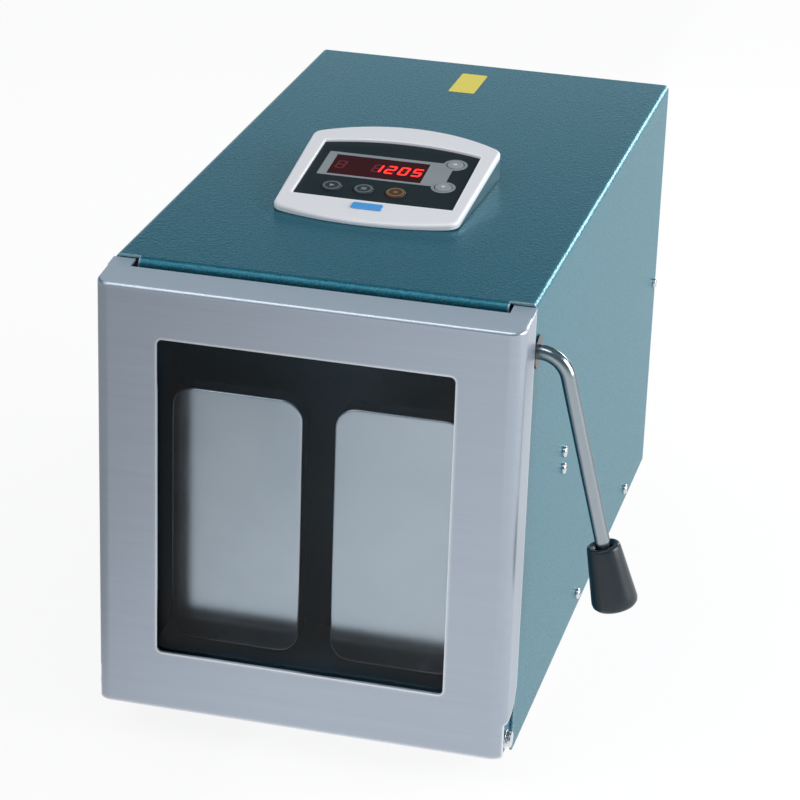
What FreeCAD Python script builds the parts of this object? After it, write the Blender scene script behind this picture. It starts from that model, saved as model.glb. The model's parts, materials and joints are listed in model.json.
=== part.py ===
import FreeCAD, Part
import math
import os
import re

import Sketcher

# Laboratory bag mixer: a sheet-steel case with a drop-down windowed door, two paddles
# driven from one crankshaft, a side lever that latches the door, and a console on top.
# X runs across the machine, Y from the door to the back, Z up from the bench.

SIZES = {
    # door tray
    "door_over": 1.0, "door_raise": 8.7, "door_drop": 4.3, "door_depth": 27.0, "door_sheet": 1.5,
    "door_bend": 8.0, "door_fold": 2.0, "flange_rise": 2.5, "flange_cut": 5.5,
    "tab_width": 12.5, "tab_reach": 2.9, "foot_cut": 7.0, "flange_end": 19.0,
    "flange_corner": 16.0, "flange_stub": 4.0,
    # door window
    "window_side": 34.0, "window_over": 27.5, "window_rise": 33.5, "window_corner": 3.0,
    "glass_lap": 8.0, "glass_thick": 5.0, "gasket_thick": 1.5, "gasket_lip": 1.0,
    "ring_side": 17.5, "ring_over": 15.8, "ring_under": 18.2, "ring_sheet": 1.5,
    "ring_lap": 3.5, "seal_deep": 4.8, "seal_width": 6.0, "seal_gap": 0.3,
    "stud_radius": 1.5, "stud_side": 4.0, "stud_over": 3.2, "stud_under": 4.3, "stud_end": 22.0,
    "stud_proud": 1.0, "nut_radius": 2.9, "nut_thick": 2.4,
    # hinge
    "hinge_back": 14.0, "hinge_rise": 5.6, "pin_radius": 2.5, "ear_sheet": 2.0, "ear_round": 8.0,
    "ear_high": 26.0, "ear_long": 31.0, "ear_corner": 6.0, "lug_inset": 10.5,
    "lug_thick": 2.2, "lug_depth": 20.5, "lug_high": 20.0, "bush_wall": 1.5, "bush_collar": 6.0,
    "head_radius": 4.3, "head_high": 2.8, "head_slot": 1.0, "washer_radius": 5.2, "washer_thick": 1.0,
    "hinge_nut": 3.6, "hinge_nut_thick": 3.0, "hinge_play": 0.3, "hinge_tail": 4.0,
    # case
    "foot_high": 12.0, "foot_radius": 12.0, "foot_inset": 27.0, "foot_front": 55.0,
    "foot_back": 30.0, "case_width": 223.0, "case_height": 254.0, "case_length": 396.0,
    "case_sheet": 1.5, "case_bend": 3.0, "lip_bend": 4.0, "lip_reach": 5.0, "lip_drop": 12.0,
    "lip_inset": 13.5, "relief_drop": 11.0, "case_gap": 0.6,
    "tray_high": 20.0, "tray_sheet": 1.5, "tray_set": 0.4, "tray_short": 2.1, "vent_long": 44.0,
    "vent_wide": 4.0, "vent_step": 12.0,
    # front frame and chamber
    "frame_inset": 3.7, "frame_sheet": 1.5, "frame_return": 14.0, "slot_inset": 7.0,
    "slot_drop": 21.9, "chamber_over": 12.5, "chamber_under": 12.2, "chamber_drop": 6.2,
    "chamber_deep": 52.0, "liner_sheet": 1.2,
    # paddles and their guides
    "paddle_gap": 17.0, "paddle_side": 10.5, "paddle_height": 148.0, "paddle_rise": 6.8,
    "paddle_set": 1.4, "paddle_rim": 12.0, "paddle_sheet": 2.5, "paddle_corner": 12.0,
    "paddle_edge": 1.5, "spine_half": 10.0, "spine_thick": 8.0, "spine_end": 56.0,
    "rod_radius": 6.0, "rod_offset": 37.0, "rod_over": 20.0, "sliding_fit": 0.05,
    "bushing_radius": 10.5, "bushing_long": 16.0, "guide_inset": 5.0, "guide_over": 30.2,
    "guide_thick": 8.0, "guide_space": 7.4, "guide_step": 48.0, "guide_foot": 20.0,
    "guide_foot_thick": 6.0, "oil_seal_radius": 10.0, "oil_seal_flange": 12.5, "oil_seal_thick": 2.0,
    # crank drive
    "crank_space": 80.0, "throw": 8.0, "shaft_radius": 6.0, "cheek_radius": 14.5,
    "cheek_long": 14.0, "bearing_radius": 14.0, "roller_radius": 19.5, "roller_wide": 10.0, "roller_gap": 2.0,
    "roller_end_gap": 1.0, "yoke_half": 27.0, "yoke_tall": 49.0, "yoke_thick": 22.0,
    "yoke_corner": 5.0, "side_plate_inset": 12.0, "side_plate_thick": 8.0,
    "side_plate_half": 43.0, "pulley_radius": 28.0, "pulley_wide": 12.0, "pulley_gap": 8.0, "pulley_lip": 2.0,
    "lip_thick": 1.2, "shaft_over": 2.0, "pinion_radius": 12.0, "belt_gap": 0.3, "belt_thick": 2.5,
    "motor_from_rear": 103.6, "motor_lift": 48.5, "motor_radius": 38.0, "motor_long": 96.0,
    "motor_set": 24.0, "motor_shaft": 5.0, "bracket_thick": 5.0, "bracket_half": 44.0,
    "bracket_foot": 46.0, "bell_radius": 33.0, "bell_long": 9.0,
    # latch lever
    "lever_set": 10.9, "lever_short": 0.5, "lever_drop": 23.8, "lever_radius": 4.0, "lever_bend": 16.0,
    "lever_out": 13.75, "lever_splay": 14.4, "knob_start": 106.0, "knob_long": 36.0,
    "knob_neck": 8.9, "knob_end": 12.8, "knob_round": 5.0, "knob_lip": 1.5,
    "hook_inset": 3.0, "hook_thick": 3.0, "hook_hub": 8.0, "hook_play": 0.3, "hook_nose": 7.0,
    "hook_slope": 2.5, "hook_tall": 10.0, "hook_tip": 5.0, "hook_lead": 1.0, "hook_heel": 3.0,
    "striker_radius": 2.5, "striker_reach": 16.3, "striker_drop": 7.5, "striker_gap": 0.3,
    "striker_plate": 2.0, "striker_inset": 5.0, "striker_foot": 9.0, "striker_end": 5.0,
    "striker_past": 4.0, "side_bush": 6.0, "side_bush_flange": 9.0, "side_bush_lip": 1.0,
    "side_bush_in": 0.8, "bracket_inset": 9.5, "bracket_wide": 3.0, "bracket_foot_half": 12.0,
    "bracket_half_tall": 9.0,
    # console, in its own plane tilted up from the top of the case
    "console_shift": 3.0, "console_front": 123.0, "console_tilt": 7.5, "console_half_front": 51.5,
    "console_half_rear": 54.3, "console_depth": 93.0, "bow_front": 10.0, "bow_rear": 17.0,
    "rim_high": 4.2, "rim_round": 1.8, "panel_half": 45.0, "panel_front": 15.0,
    "panel_rear": 83.0, "panel_bow": 7.0, "panel_front_bow": 0.5, "panel_thick": 1.5, "panel_sink": 1.5,
    "ledge": 3.0, "lens_left": 34.0, "lens_right": 19.5, "lens_front": 45.0, "lens_rear": 69.0,
    "key_radius": 5.8, "key_gap": 0.3, "key_proud": 0.6, "key_travel": 0.6, "key_skirt": 1.0,
    "key_skirt_thick": 0.6, "switch_gap": 0.1, "arrow_radius": 4.6, "board_drop": 5.0, "board_thick": 1.6,
    "key_first": 26.5, "key_step": 18.0, "key_row": 30.0, "arrow_x": 33.0, "arrow_low": 43.0,
    "arrow_high": 71.5, "board_half": 36.0, "board_front": 27.0, "board_rear": 79.0,
    "post_radius": 2.5, "post_inset": 3.0, "switch_stem": 2.0, "corner_round": 7.0,
    # back of the case
    "panel_flange": 14.0, "panel_sheet": 1.5, "panel_set": 0.2, "louvre_long": 70.0, "louvre_wide": 4.0,
    "louvre_step": 12.0, "louvre_low": 128.0, "inlet_inset": 44.0, "inlet_z": 48.0,
    "inlet_wide": 27.0, "inlet_tall": 20.0, "inlet_deep": 22.0, "inlet_plate": 2.0,
    "socket_wide": 22.0, "socket_tall": 14.0, "socket_deep": 16.0, "switch_step": 42.0,
    "switch_wide": 14.0, "switch_tall": 23.0, "switch_rim": 2.0, "rocker_angle": 14.0,
    "fuse_step": 36.0, "fuse_radius": 6.0, "fuse_cap": 7.5, "fuse_proud": 6.0, "fuse_deep": 20.0,
    "inlet_rim": 2.5, "prong_long": 9.0, "prong_wide": 4.0, "prong_thick": 2.0, "prong_step": 7.0,
    "rocker_half": 5.0, "rocker_tall": 9.0, "rocker_face": 4.0, "rocker_back": 5.0, "rocker_gap": 0.3,
    "rocker_room": 10.4, "rocker_stub": 1.5, "rocker_stub_long": 1.0, "switch_deep": 14.0,
    # electronics on the tray
    "drive_board_inset": 10.0, "drive_board_wide": 36.0, "drive_board_end": 45.6,
    "drive_board_long": 124.0, "drive_post": 3.0, "drive_post_inset": 4.0, "drive_post_high": 8.0,
    "part_gap": 4.0, "can_radius": 8.0, "can_high": 24.0, "choke_side": 24.0, "choke_high": 22.0,
    "fin_thick": 1.6, "fin_step": 5.0, "fin_high": 26.0, "fin_long": 38.0,
    # screws through the case
    "screw_radius": 1.7, "screw_head": 3.2, "screw_head_high": 2.0, "screw_long": 8.0,
    "side_screw_up": 9.8, "side_screw_near": 200.6, "side_screw_far": 352.5,
    "side_screw_mid": 137.8, "side_screw_pair": 130.7, "side_screw_split": 5.0,
    "side_screw_end": 6.9, "rear_screw_outer": 95.0, "rear_screw_inner": 32.0, "rear_screw_up": 10.0,
}

PLACES = {
    "case_low": "foot_high",
    "case_top": "foot_high + case_height",
    "case_half": "case_width / 2",
    "case_front": "door_depth + case_gap",
    "case_back": "case_front + case_length",
    "cover_inner": "case_half - case_sheet",
    "lip_half": "case_half - lip_inset",
    "door_half": "case_half + door_over",
    "door_low": "case_low + door_raise",
    "door_top": "case_top - door_drop",
    "flange_depth": "door_depth - flange_cut",
    "foot_fold": "door_depth - foot_cut",
    "tab_depth": "case_front + tab_reach",
    "rise_slope": "flange_rise / door_depth",
    "window_half": "door_half - window_side",
    "window_low": "door_low + window_rise",
    "window_high": "door_top - window_over",
    "glass_half": "window_half + glass_lap",
    "glass_low": "window_low - glass_lap",
    "glass_high": "window_high + glass_lap",
    "glass_front": "door_sheet + gasket_thick",
    "glass_rear": "glass_front + glass_thick",
    "ring_half": "window_half + ring_side",
    "ring_low": "window_low - ring_under",
    "ring_high": "window_high + ring_over",
    "ring_face": "glass_rear + ring_sheet",
    "frame_front": "case_front + case_sheet",
    "frame_rear": "frame_front + frame_sheet",
    "frame_half": "case_half - frame_inset",
    "frame_top": "case_top - lip_bend",
    "ring_depth": "frame_front - seal_gap - seal_deep",
    "tray_floor": "case_low + tray_sheet",
    "hinge_z": "door_low + hinge_rise",
    "ear_inner": "cover_inner - ear_sheet",
    "lug_outer": "door_half - lug_inset + lug_thick",
    "lug_inner": "door_half - lug_inset",
    "tray_front": "frame_rear + tray_set",
    "tray_rear": "case_back - tray_short",
    "ear_back": "tray_front + ear_long",
    "slot_side": "case_half - slot_inset",
    "chamber_half": "window_half + chamber_over",
    "chamber_low": "window_low - chamber_under",
    "chamber_high": "window_high - chamber_drop",
    "paddle_width": "chamber_half - paddle_side - paddle_gap / 2",
    "paddle_x": "paddle_gap / 2 + paddle_width / 2",
    "paddle_low": "chamber_low + paddle_rise",
    "paddle_front": "frame_front + paddle_set",
    "drive_z": "paddle_low + paddle_height / 2",
    "spine_rear": "paddle_front + paddle_sheet + spine_thick",
    "liner_rear": "frame_rear + chamber_deep",
    "guide_front": "liner_rear + guide_space",
    "crank_back": "guide_front + crank_space",
    "guide_rear": "crank_back + guide_step",
    "rod_end": "guide_rear + rod_over",
    "guide_half": "chamber_half - guide_inset",
    "guide_top": "drive_z + rod_offset + guide_over",
    "side_plate": "guide_half - side_plate_inset",
    "plate_outer": "side_plate + side_plate_thick",
    "pulley_at": "plate_outer + pulley_gap",
    "shaft_end": "pulley_at + pulley_wide + shaft_over",
    "motor_face": "pulley_at - motor_set",
    "motor_back": "case_back - motor_from_rear",
    "motor_up": "tray_floor + motor_lift",
    "lever_back": "case_front + lever_set",
    "lever_z": "door_top - lever_drop",
    "slot_low": "lever_z - slot_drop",
    "lever_turn_x": "case_half + lever_out",
    "lever_run": "lever_bend * tan(45 - lever_splay / 2)",
    "hook_outer": "case_half - hook_inset",
    "hook_inner": "hook_outer - hook_thick",
    "striker_y": "lever_back - striker_reach",
    "striker_z": "lever_z - striker_drop",
    "bracket_x": "case_half - bracket_inset",
    "console_x": "0 - console_shift",
    "panel_top": "rim_high - panel_sink",
    "panel_base": "panel_top - panel_thick",
    "tilt_slope": "tan(console_tilt)",
    "board_top": "panel_top - board_drop",
    "drive_board_x": "drive_board_inset - cover_inner",
    "drive_board_back": "case_back - drive_board_end - drive_board_long",
    "key_bottom": "panel_base - key_gap - key_skirt_thick",
    "rear_face": "case_back - panel_set",
    "inlet_x": "cover_inner - inlet_inset",
    "switch_x": "inlet_x - switch_step",
    "fuse_x": "switch_x - fuse_step",
    "knob_reach": "(knob_start + knob_long - knob_round) * sin(lever_splay)"
                  " + (knob_end - knob_round) * cos(lever_splay) + knob_round",
    "origin_x": "(lever_turn_x + knob_reach - door_half) / 2",
    "origin_y": "(rear_face + fuse_proud) / 2",
}

# Where the pan-head screws go through each side of the cover: back from the door, up
SIDE_SCREWS = [
    ("side_screw_near", "case_low + side_screw_up"), ("side_screw_far", "case_low + side_screw_up"),
    ("side_screw_pair", "side_screw_mid + side_screw_split"),
    ("side_screw_pair", "side_screw_mid - side_screw_split"),
    ("rear_face - side_screw_end", "side_screw_mid"),
]

REAR_SCREWS = [(x, "case_low + rear_screw_up") for x in (
    "0 - rear_screw_outer", "0 - rear_screw_inner", "rear_screw_inner", "rear_screw_outer")]

FEET = [(x, back) for x in ("0 - (case_half - foot_inset)", "case_half - foot_inset")
        for back in ("foot_front", "case_back - foot_back")]

# Centres of the four guide rods, seen from the front
ROD_PLACES = [(x, "drive_z %s rod_offset" % sign) for x in ("0 - paddle_x", "paddle_x") for sign in "-+"]

# Studs round the window that hold its retainer
STUDS = [("%s (glass_half + stud_side)" % sign, up) for sign in ("0 -", "") for up in (
    "window_low + stud_end", "(window_low + window_high) / 2", "window_high - stud_end")]
STUDS += [(x, up) for x in ("0 - window_half + stud_end", "0", "window_half - stud_end") for up in (
    "glass_low - stud_under", "glass_high + stud_over")]

# Keys of the console: name, centre across and back on the panel, radius
KEYS = [("start_key", "0 - key_first", "key_row", "key_radius"),
        ("program_key", "key_step - key_first", "key_row", "key_radius"),
        ("stop_key", "2 * key_step - key_first", "key_row", "key_radius"),
        ("up_key", "arrow_x", "arrow_high", "arrow_radius"),
        ("down_key", "arrow_x", "arrow_low", "arrow_radius")]

doc = FreeCAD.newDocument("bag_mixer")
nodes = []


def owned(text, own=""):
    """Return the text with each size or place written as its sheet's cell."""
    def cell(match):
        word = match.group(0)
        if word in SIZES:
            return "sizes." + word
        if word in PLACES and own != "places":
            return "places." + word
        return word
    return re.sub(r"[a-z][a-z_]*[a-z]", cell, str(text))


def fill(name, rows, prefix=""):
    sheet = doc.addObject("Spreadsheet::Sheet", name)
    for row, (alias, content) in enumerate(rows.items(), 1):
        sheet.set("A%d" % row, alias)
        sheet.set("B%d" % row, prefix + (owned(content, name) if prefix else str(content)))
        sheet.setAlias("B%d" % row, alias)
    return sheet


sizes_sheet = fill("sizes", SIZES)
doc.recompute()
places_sheet = fill("places", PLACES, "=")
doc.recompute()


def number(text):
    found = places_sheet.evalExpression(owned(text))
    return float(getattr(found, "Value", found))


def bind(item, prop, text):
    item.setExpression(prop, owned(text))


def keep(item, name, at=("0", "0", "0"), turn=None):
    """Name a finished sub-part and set it in the machine's own frame."""
    item.Label = name
    if turn:
        axis, angle = turn
        item.Placement = FreeCAD.Placement(FreeCAD.Vector(), FreeCAD.Rotation(axis, number(angle)))
        bind(item, "Placement.Rotation.Angle", angle)
    bind(item, "Placement.Base.x", at[0] + " - origin_x")
    bind(item, "Placement.Base.y", at[1] + " - origin_y")
    bind(item, "Placement.Base.z", at[2])
    nodes.append(item)
    return item


def on_console(item, name):
    """Set a sub-part that was made in the console's own tilted plane."""
    return keep(item, name, ("console_x", "console_front", "case_top"),
                (FreeCAD.Vector(1, 0, 0), "console_tilt"))


# Primitives, each placed by the corners or the end of its axis
TURN = {
    "x": FreeCAD.Rotation(FreeCAD.Vector(0, 1, 0), 90),
    "y": FreeCAD.Rotation(FreeCAD.Vector(1, 0, 0), -90),
    "z": FreeCAD.Rotation(),
}


def block(name, left, right, front, back, low, high):
    item = doc.addObject("Part::Box", name)
    for prop, start, end in (("Length", left, right), ("Width", front, back), ("Height", low, high)):
        bind(item, prop, "(%s) - (%s)" % (end, start))
    for letter, start in zip("xyz", (left, front, low)):
        bind(item, "Placement.Base." + letter, start)
    return item


def rod(name, axis, x, y, z, radius, length):
    item = doc.addObject("Part::Cylinder", name)
    item.Placement = FreeCAD.Placement(FreeCAD.Vector(), TURN[axis])
    for letter, start in zip("xyz", (x, y, z)):
        bind(item, "Placement.Base." + letter, start)
    bind(item, "Radius", radius)
    bind(item, "Height", length)
    return item


def cone(name, axis, x, y, z, first, second, length):
    item = doc.addObject("Part::Cone", name)
    item.Placement = FreeCAD.Placement(FreeCAD.Vector(), TURN[axis])
    for letter, start in zip("xyz", (x, y, z)):
        bind(item, "Placement.Base." + letter, start)
    bind(item, "Radius1", first)
    bind(item, "Radius2", second)
    bind(item, "Height", length)
    return item


def join(name, items):
    item = doc.addObject("Part::MultiFuse", name)
    item.Shapes = list(items)
    item.Refine = True
    return item


def group(name, items):
    item = doc.addObject("Part::Compound", name)
    item.Links = list(items)
    return item


def cut(name, base, tools):
    item = doc.addObject("Part::Cut", name)
    item.Base = base
    item.Tool = tools[0] if len(tools) == 1 else group(name + "_tools", tools)
    item.Refine = True
    return item


def ring(name, axis, x, y, z, outer, inner, length):
    wall = rod(name + "_wall", axis, x, y, z, outer, length)
    bore = rod(name + "_bore", axis, x, y, z, inner, length)
    return cut(name, wall, [bore])


def mirrored(item):
    other = doc.addObject("Part::Mirroring", item.Name + "_left")
    other.Source = item
    other.Normal = FreeCAD.Vector(1, 0, 0)
    return other


def pair(name, item):
    return group(name, [item, mirrored(item)])


# Bodies drawn in sketches on their own origin planes
def new_body(name):
    return doc.addObject("PartDesign::Body", name)


def sketch(item, role, offset="0"):
    plane = next(f for f in item.Origin.OriginFeatures if f.Role == role)
    drawn = item.newObject("Sketcher::SketchObject", item.Name + "_sketch")
    drawn.AttachmentSupport = [(plane, "")]
    drawn.MapMode = "FlatFace"
    bind(drawn, "AttachmentOffset.Base.z", offset)
    return drawn


def across(item, x="0"):
    """A sketch seen from the side: its axes are Y and Z, at this X."""
    return sketch(item, "YZ_Plane", x)


def facing(item, y="0"):
    """A sketch seen from the front: its axes are X and Z, at this Y."""
    return sketch(item, "XZ_Plane", "0 - (%s)" % y)


def level(item, z="0"):
    """A sketch seen from above: its axes are X and Y, at this height."""
    return sketch(item, "XY_Plane", z)


def pin_point(drawn, element, end, across_text, up_text):
    for kind, text in (("DistanceX", across_text), ("DistanceY", up_text)):
        index = drawn.addConstraint(Sketcher.Constraint(kind, -1, 1, element, end, number(text)))
        bind(drawn, "Constraints[%d]" % index, text)


def outline(drawn, points):
    """Draw straight lines round the points, each one bound to its two formulas."""
    spots = [FreeCAD.Vector(number(u), number(v), 0) for u, v in points]
    first = drawn.GeometryCount
    count = len(spots)
    for index, spot in enumerate(spots):
        drawn.addGeometry(Part.LineSegment(spot, spots[(index + 1) % count]), False)
    for index in range(count):
        following = first + (index + 1) % count
        drawn.addConstraint(Sketcher.Constraint("Coincident", first + index, 2, following, 1))
    for index, (u, v) in enumerate(points):
        pin_point(drawn, first + index, 1, u, v)
    return drawn


def rectangle(drawn, left, low, right, high):
    return outline(drawn, [(left, low), (right, low), (right, high), (left, high)])


def circle(drawn, u, v, radius):
    shape = Part.Circle(FreeCAD.Vector(number(u), number(v), 0), FreeCAD.Vector(0, 0, 1), number(radius))
    index = drawn.addGeometry(shape, False)
    pin_point(drawn, index, 3, u, v)
    held = drawn.addConstraint(Sketcher.Constraint("Radius", index, number(radius)))
    bind(drawn, "Constraints[%d]" % held, radius)
    return drawn


def bowed(drawn, left, low, right, high, bow_low, bow_high, spread="0"):
    """A four-sided outline whose low and high edges are arcs that stand out by their bows."""
    corners = [(left, low), (right, low), ("(%s) + (%s)" % (right, spread), high),
               ("(%s) - (%s)" % (left, spread), high)]
    middle = "((%s) + (%s)) / 2" % (left, right)
    spots = [FreeCAD.Vector(number(u), number(v), 0) for u, v in corners]
    low_mid = FreeCAD.Vector(number(middle), number("(%s) - (%s)" % (low, bow_low)), 0)
    high_mid = FreeCAD.Vector(number(middle), number("(%s) + (%s)" % (high, bow_high)), 0)
    drawn.addGeometry(Part.Arc(spots[0], low_mid, spots[1]), False)
    drawn.addGeometry(Part.LineSegment(spots[1], spots[2]), False)
    drawn.addGeometry(Part.Arc(spots[2], high_mid, spots[3]), False)
    drawn.addGeometry(Part.LineSegment(spots[3], spots[0]), False)
    for one, end, other, start in ((0, 2, 1, 1), (1, 2, 2, 1), (2, 2, 3, 1), (3, 2, 0, 1)):
        drawn.addConstraint(Sketcher.Constraint("Coincident", one, end, other, start))
    pin_point(drawn, 1, 1, *corners[1])
    pin_point(drawn, 1, 2, *corners[2])
    pin_point(drawn, 3, 1, *corners[3])
    pin_point(drawn, 3, 2, *corners[0])
    for arc, chord, bow in ((0, "(%s) - (%s)" % (right, left), bow_low),
                            (2, "(%s) - (%s) + 2 * (%s)" % (right, left, spread), bow_high)):
        radius = "((%s) ^ 2 / 4 + (%s) ^ 2) / (2 * (%s))" % (chord, bow, bow)
        held = drawn.addConstraint(Sketcher.Constraint("Radius", arc, number(radius)))
        bind(drawn, "Constraints[%d]" % held, radius)
    return drawn


def pad(item, drawn, length, reverse=False, both=False):
    grown = item.newObject("PartDesign::Pad", item.Name + "_pad")
    grown.Profile = drawn
    grown.Reversed = reverse
    grown.Midplane = both
    bind(grown, "Length", length)
    return grown


def pocket(item, drawn, length=None, reverse=False):
    cleared = item.newObject("PartDesign::Pocket", item.Name + "_pocket")
    cleared.Profile = drawn
    cleared.Reversed = reverse
    if length is None:
        cleared.Type = "ThroughAll"
        cleared.Midplane = True
    else:
        bind(cleared, "Length", length)
    return cleared


def edges_where(shape, test):
    return ["Edge%d" % (index + 1) for index, edge in enumerate(shape.Edges) if test(edge)]


def runs(edge, axis):
    """True for a straight edge that runs along this axis."""
    if not isinstance(edge.Curve, (Part.Line, Part.LineSegment)):
        return False
    box = edge.BoundBox
    spans = {"x": box.XLength, "y": box.YLength, "z": box.ZLength}
    return all((spans[a] > 0.5) == (a == axis) for a in "xyz")


def near(value, text):
    return abs(value - number(text)) < 0.02


def soften(item, radius, test):
    """Round the edges of the body that pass the test."""
    doc.recompute()
    base = item.Tip
    names = edges_where(base.Shape, test)
    if not names:
        raise RuntimeError("no edge to soften on " + item.Name)
    eased = item.newObject("PartDesign::Fillet", item.Name + "_soft")
    eased.Base = (base, names)
    bind(eased, "Radius", radius)
    return eased


def looped(drawn, u_large, v_large, large, u_small, v_small, small):
    """A closed line round two circles, as a belt runs round its pulleys."""
    centres = [(number(u_large), number(v_large)), (number(u_small), number(v_small))]
    radii = [number(large), number(small)]
    span = math.dist(*centres)
    heading = math.atan2(centres[1][1] - centres[0][1], centres[1][0] - centres[0][0])
    wrap = math.acos((radii[0] - radii[1]) / span)

    def spot(which, turn):
        angle = heading + turn
        return FreeCAD.Vector(centres[which][0] + radii[which] * math.cos(angle),
                              centres[which][1] + radii[which] * math.sin(angle), 0)

    def arc(which, start, end):
        round_it = Part.Circle(FreeCAD.Vector(*centres[which], 0), FreeCAD.Vector(0, 0, 1), radii[which])
        return Part.ArcOfCircle(round_it, heading + start, heading + end)

    drawn.addGeometry(arc(0, wrap, 2 * math.pi - wrap), False)
    drawn.addGeometry(Part.LineSegment(spot(0, -wrap), spot(1, -wrap)), False)
    drawn.addGeometry(arc(1, -wrap, wrap), False)
    drawn.addGeometry(Part.LineSegment(spot(1, wrap), spot(0, wrap)), False)
    for one, end, other, start in ((0, 2, 1, 1), (1, 2, 2, 1), (2, 2, 3, 1), (3, 2, 0, 1)):
        drawn.addConstraint(Sketcher.Constraint("Tangent", one, end, other, start))
    for arc_index, u, v, radius in ((0, u_large, v_large, large), (2, u_small, v_small, small)):
        pin_point(drawn, arc_index, 3, u, v)
        held = drawn.addConstraint(Sketcher.Constraint("Radius", arc_index, number(radius)))
        bind(drawn, "Constraints[%d]" % held, radius)
    return drawn


def revolved(item, points):
    """Turn a closed profile about the sketch's upright axis."""
    drawn = outline(facing(item), points)
    turned = item.newObject("PartDesign::Revolution", item.Name + "_turned")
    turned.Profile = drawn
    turned.ReferenceAxis = (drawn, ["V_Axis"])
    turned.Angle = 360
    return turned


# Case
def housing_cover():
    """Folded cover: top and both sides in one sheet, with a turned-down lip over the door."""
    item = new_body("housing_cover")
    fold = outline(facing(item, "case_front + lip_bend"), [
        ("0 - case_half", "case_low"), ("0 - case_half", "case_top"), ("case_half", "case_top"),
        ("case_half", "case_low"), ("cover_inner", "case_low"),
        ("cover_inner", "case_top - case_sheet"), ("0 - cover_inner", "case_top - case_sheet"),
        ("0 - cover_inner", "case_low")])
    pad(item, fold, "case_length - lip_bend", reverse=True)
    for left, right in (("0 - case_half", "0 - cover_inner"), ("cover_inner", "case_half")):
        strip = rectangle(facing(item, "case_front"), left, "case_low", right, "case_top - relief_drop")
        pad(item, strip, "lip_bend", reverse=True)
    lip = outline(across(item, "0 - lip_half"), [
        ("case_front", "case_top - lip_drop"), ("case_front", "case_top"),
        ("case_front + lip_reach", "case_top"), ("case_front + lip_reach", "case_top - case_sheet"),
        ("case_front + case_sheet", "case_top - case_sheet"),
        ("case_front + case_sheet", "case_top - lip_drop")])
    pad(item, lip, "2 * lip_half")
    pocket(item, circle(across(item, "case_half + 1"), "lever_back", "lever_z", "side_bush"),
           "case_sheet + 2")
    for back, up in SIDE_SCREWS:
        pocket(item, circle(across(item), back, up, "screw_radius"))
    wiring = rectangle(level(item, "case_top + 1"), "console_x - panel_half + 2 * ledge",
                       "console_front + panel_front + 2 * ledge", "console_x + panel_half - 2 * ledge",
                       "console_front + panel_rear - 2 * ledge")
    pocket(item, wiring, "case_sheet + 2")
    soften(item, "case_bend", lambda e: runs(e, "y") and near(abs(e.BoundBox.XMax), "case_half")
           and near(e.BoundBox.ZMax, "case_top"))
    soften(item, "case_bend - case_sheet", lambda e: runs(e, "y")
           and near(abs(e.BoundBox.XMax), "cover_inner") and near(e.BoundBox.ZMax, "case_top - case_sheet"))
    soften(item, "lip_bend", lambda e: runs(e, "x") and near(e.BoundBox.YMax, "case_front")
           and near(e.BoundBox.ZMax, "case_top"))
    soften(item, "lip_bend - case_sheet", lambda e: runs(e, "x")
           and near(e.BoundBox.YMax, "case_front + case_sheet")
           and near(e.BoundBox.ZMax, "case_top - case_sheet"))
    return keep(item, "housing_cover")


def base_tray():
    """Floor pan with upturned walls inside the cover, cut back at the front for the hinge ears."""
    item = new_body("base_tray")
    pad(item, rectangle(level(item, "case_low"), "0 - cover_inner", "tray_front", "cover_inner",
                        "tray_rear"), "tray_high")
    inside = rectangle(level(item, "case_low + tray_high"), "0 - cover_inner + tray_sheet",
                       "tray_front + tray_sheet", "cover_inner - tray_sheet", "tray_rear - tray_sheet")
    pocket(item, inside, "tray_high - tray_sheet")
    for left, right in (("0 - cover_inner - 1", "0 - ear_inner"), ("ear_inner", "cover_inner + 1")):
        pocket(item, rectangle(level(item), left, "tray_front - 1", right, "ear_back"))
    for row in range(-4, 5):
        for side in (-1, 1):
            middle = "%d * vent_long * 0.75" % side
            back = "(guide_rear + tray_rear) / 2 + %d * vent_step" % row
            pocket(item, rectangle(level(item), "%s - vent_long / 2" % middle, "%s - vent_wide / 2" % back,
                                   "%s + vent_long / 2" % middle, "%s + vent_wide / 2" % back))
    for x, back in FEET:
        pocket(item, circle(level(item, "tray_floor + 1"), x, back, "screw_radius"), "tray_sheet + 2")
    for back, up in SIDE_SCREWS[:2]:
        pocket(item, circle(across(item), back, up, "screw_radius"))
    for x, up in REAR_SCREWS:
        pocket(item, circle(facing(item, "tray_rear - tray_sheet - 1"), x, up, "screw_radius"),
               "tray_sheet + 2")
    return keep(item, "base_tray")


def front_frame():
    """Steel front of the case: the chamber opening, hook slots and folded-back sides."""
    item = new_body("front_frame")
    pad(item, rectangle(facing(item, "frame_front"), "0 - frame_half", "case_low", "frame_half",
                        "frame_top"), "frame_sheet", reverse=True)
    for left, right in (("0 - frame_half", "0 - frame_half + frame_sheet"),
                        ("frame_half - frame_sheet", "frame_half")):
        pad(item, rectangle(facing(item, "frame_rear"), left, "case_low + tray_high + 1", right, "slot_low"),
            "frame_return", reverse=True)
    pad(item, rectangle(facing(item, "frame_rear"), "0 - slot_side + frame_return",
                        "frame_top - frame_sheet", "slot_side - frame_return", "frame_top"),
        "frame_return / 2", reverse=True)
    pocket(item, rectangle(facing(item), "0 - chamber_half", "chamber_low", "chamber_half", "chamber_high"))
    for left, right in (("0 - frame_half - 1", "0 - slot_side"), ("slot_side", "frame_half + 1")):
        pocket(item, rectangle(facing(item), left, "slot_low", right, "frame_top + 1"))
    return keep(item, "front_frame")


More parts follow.
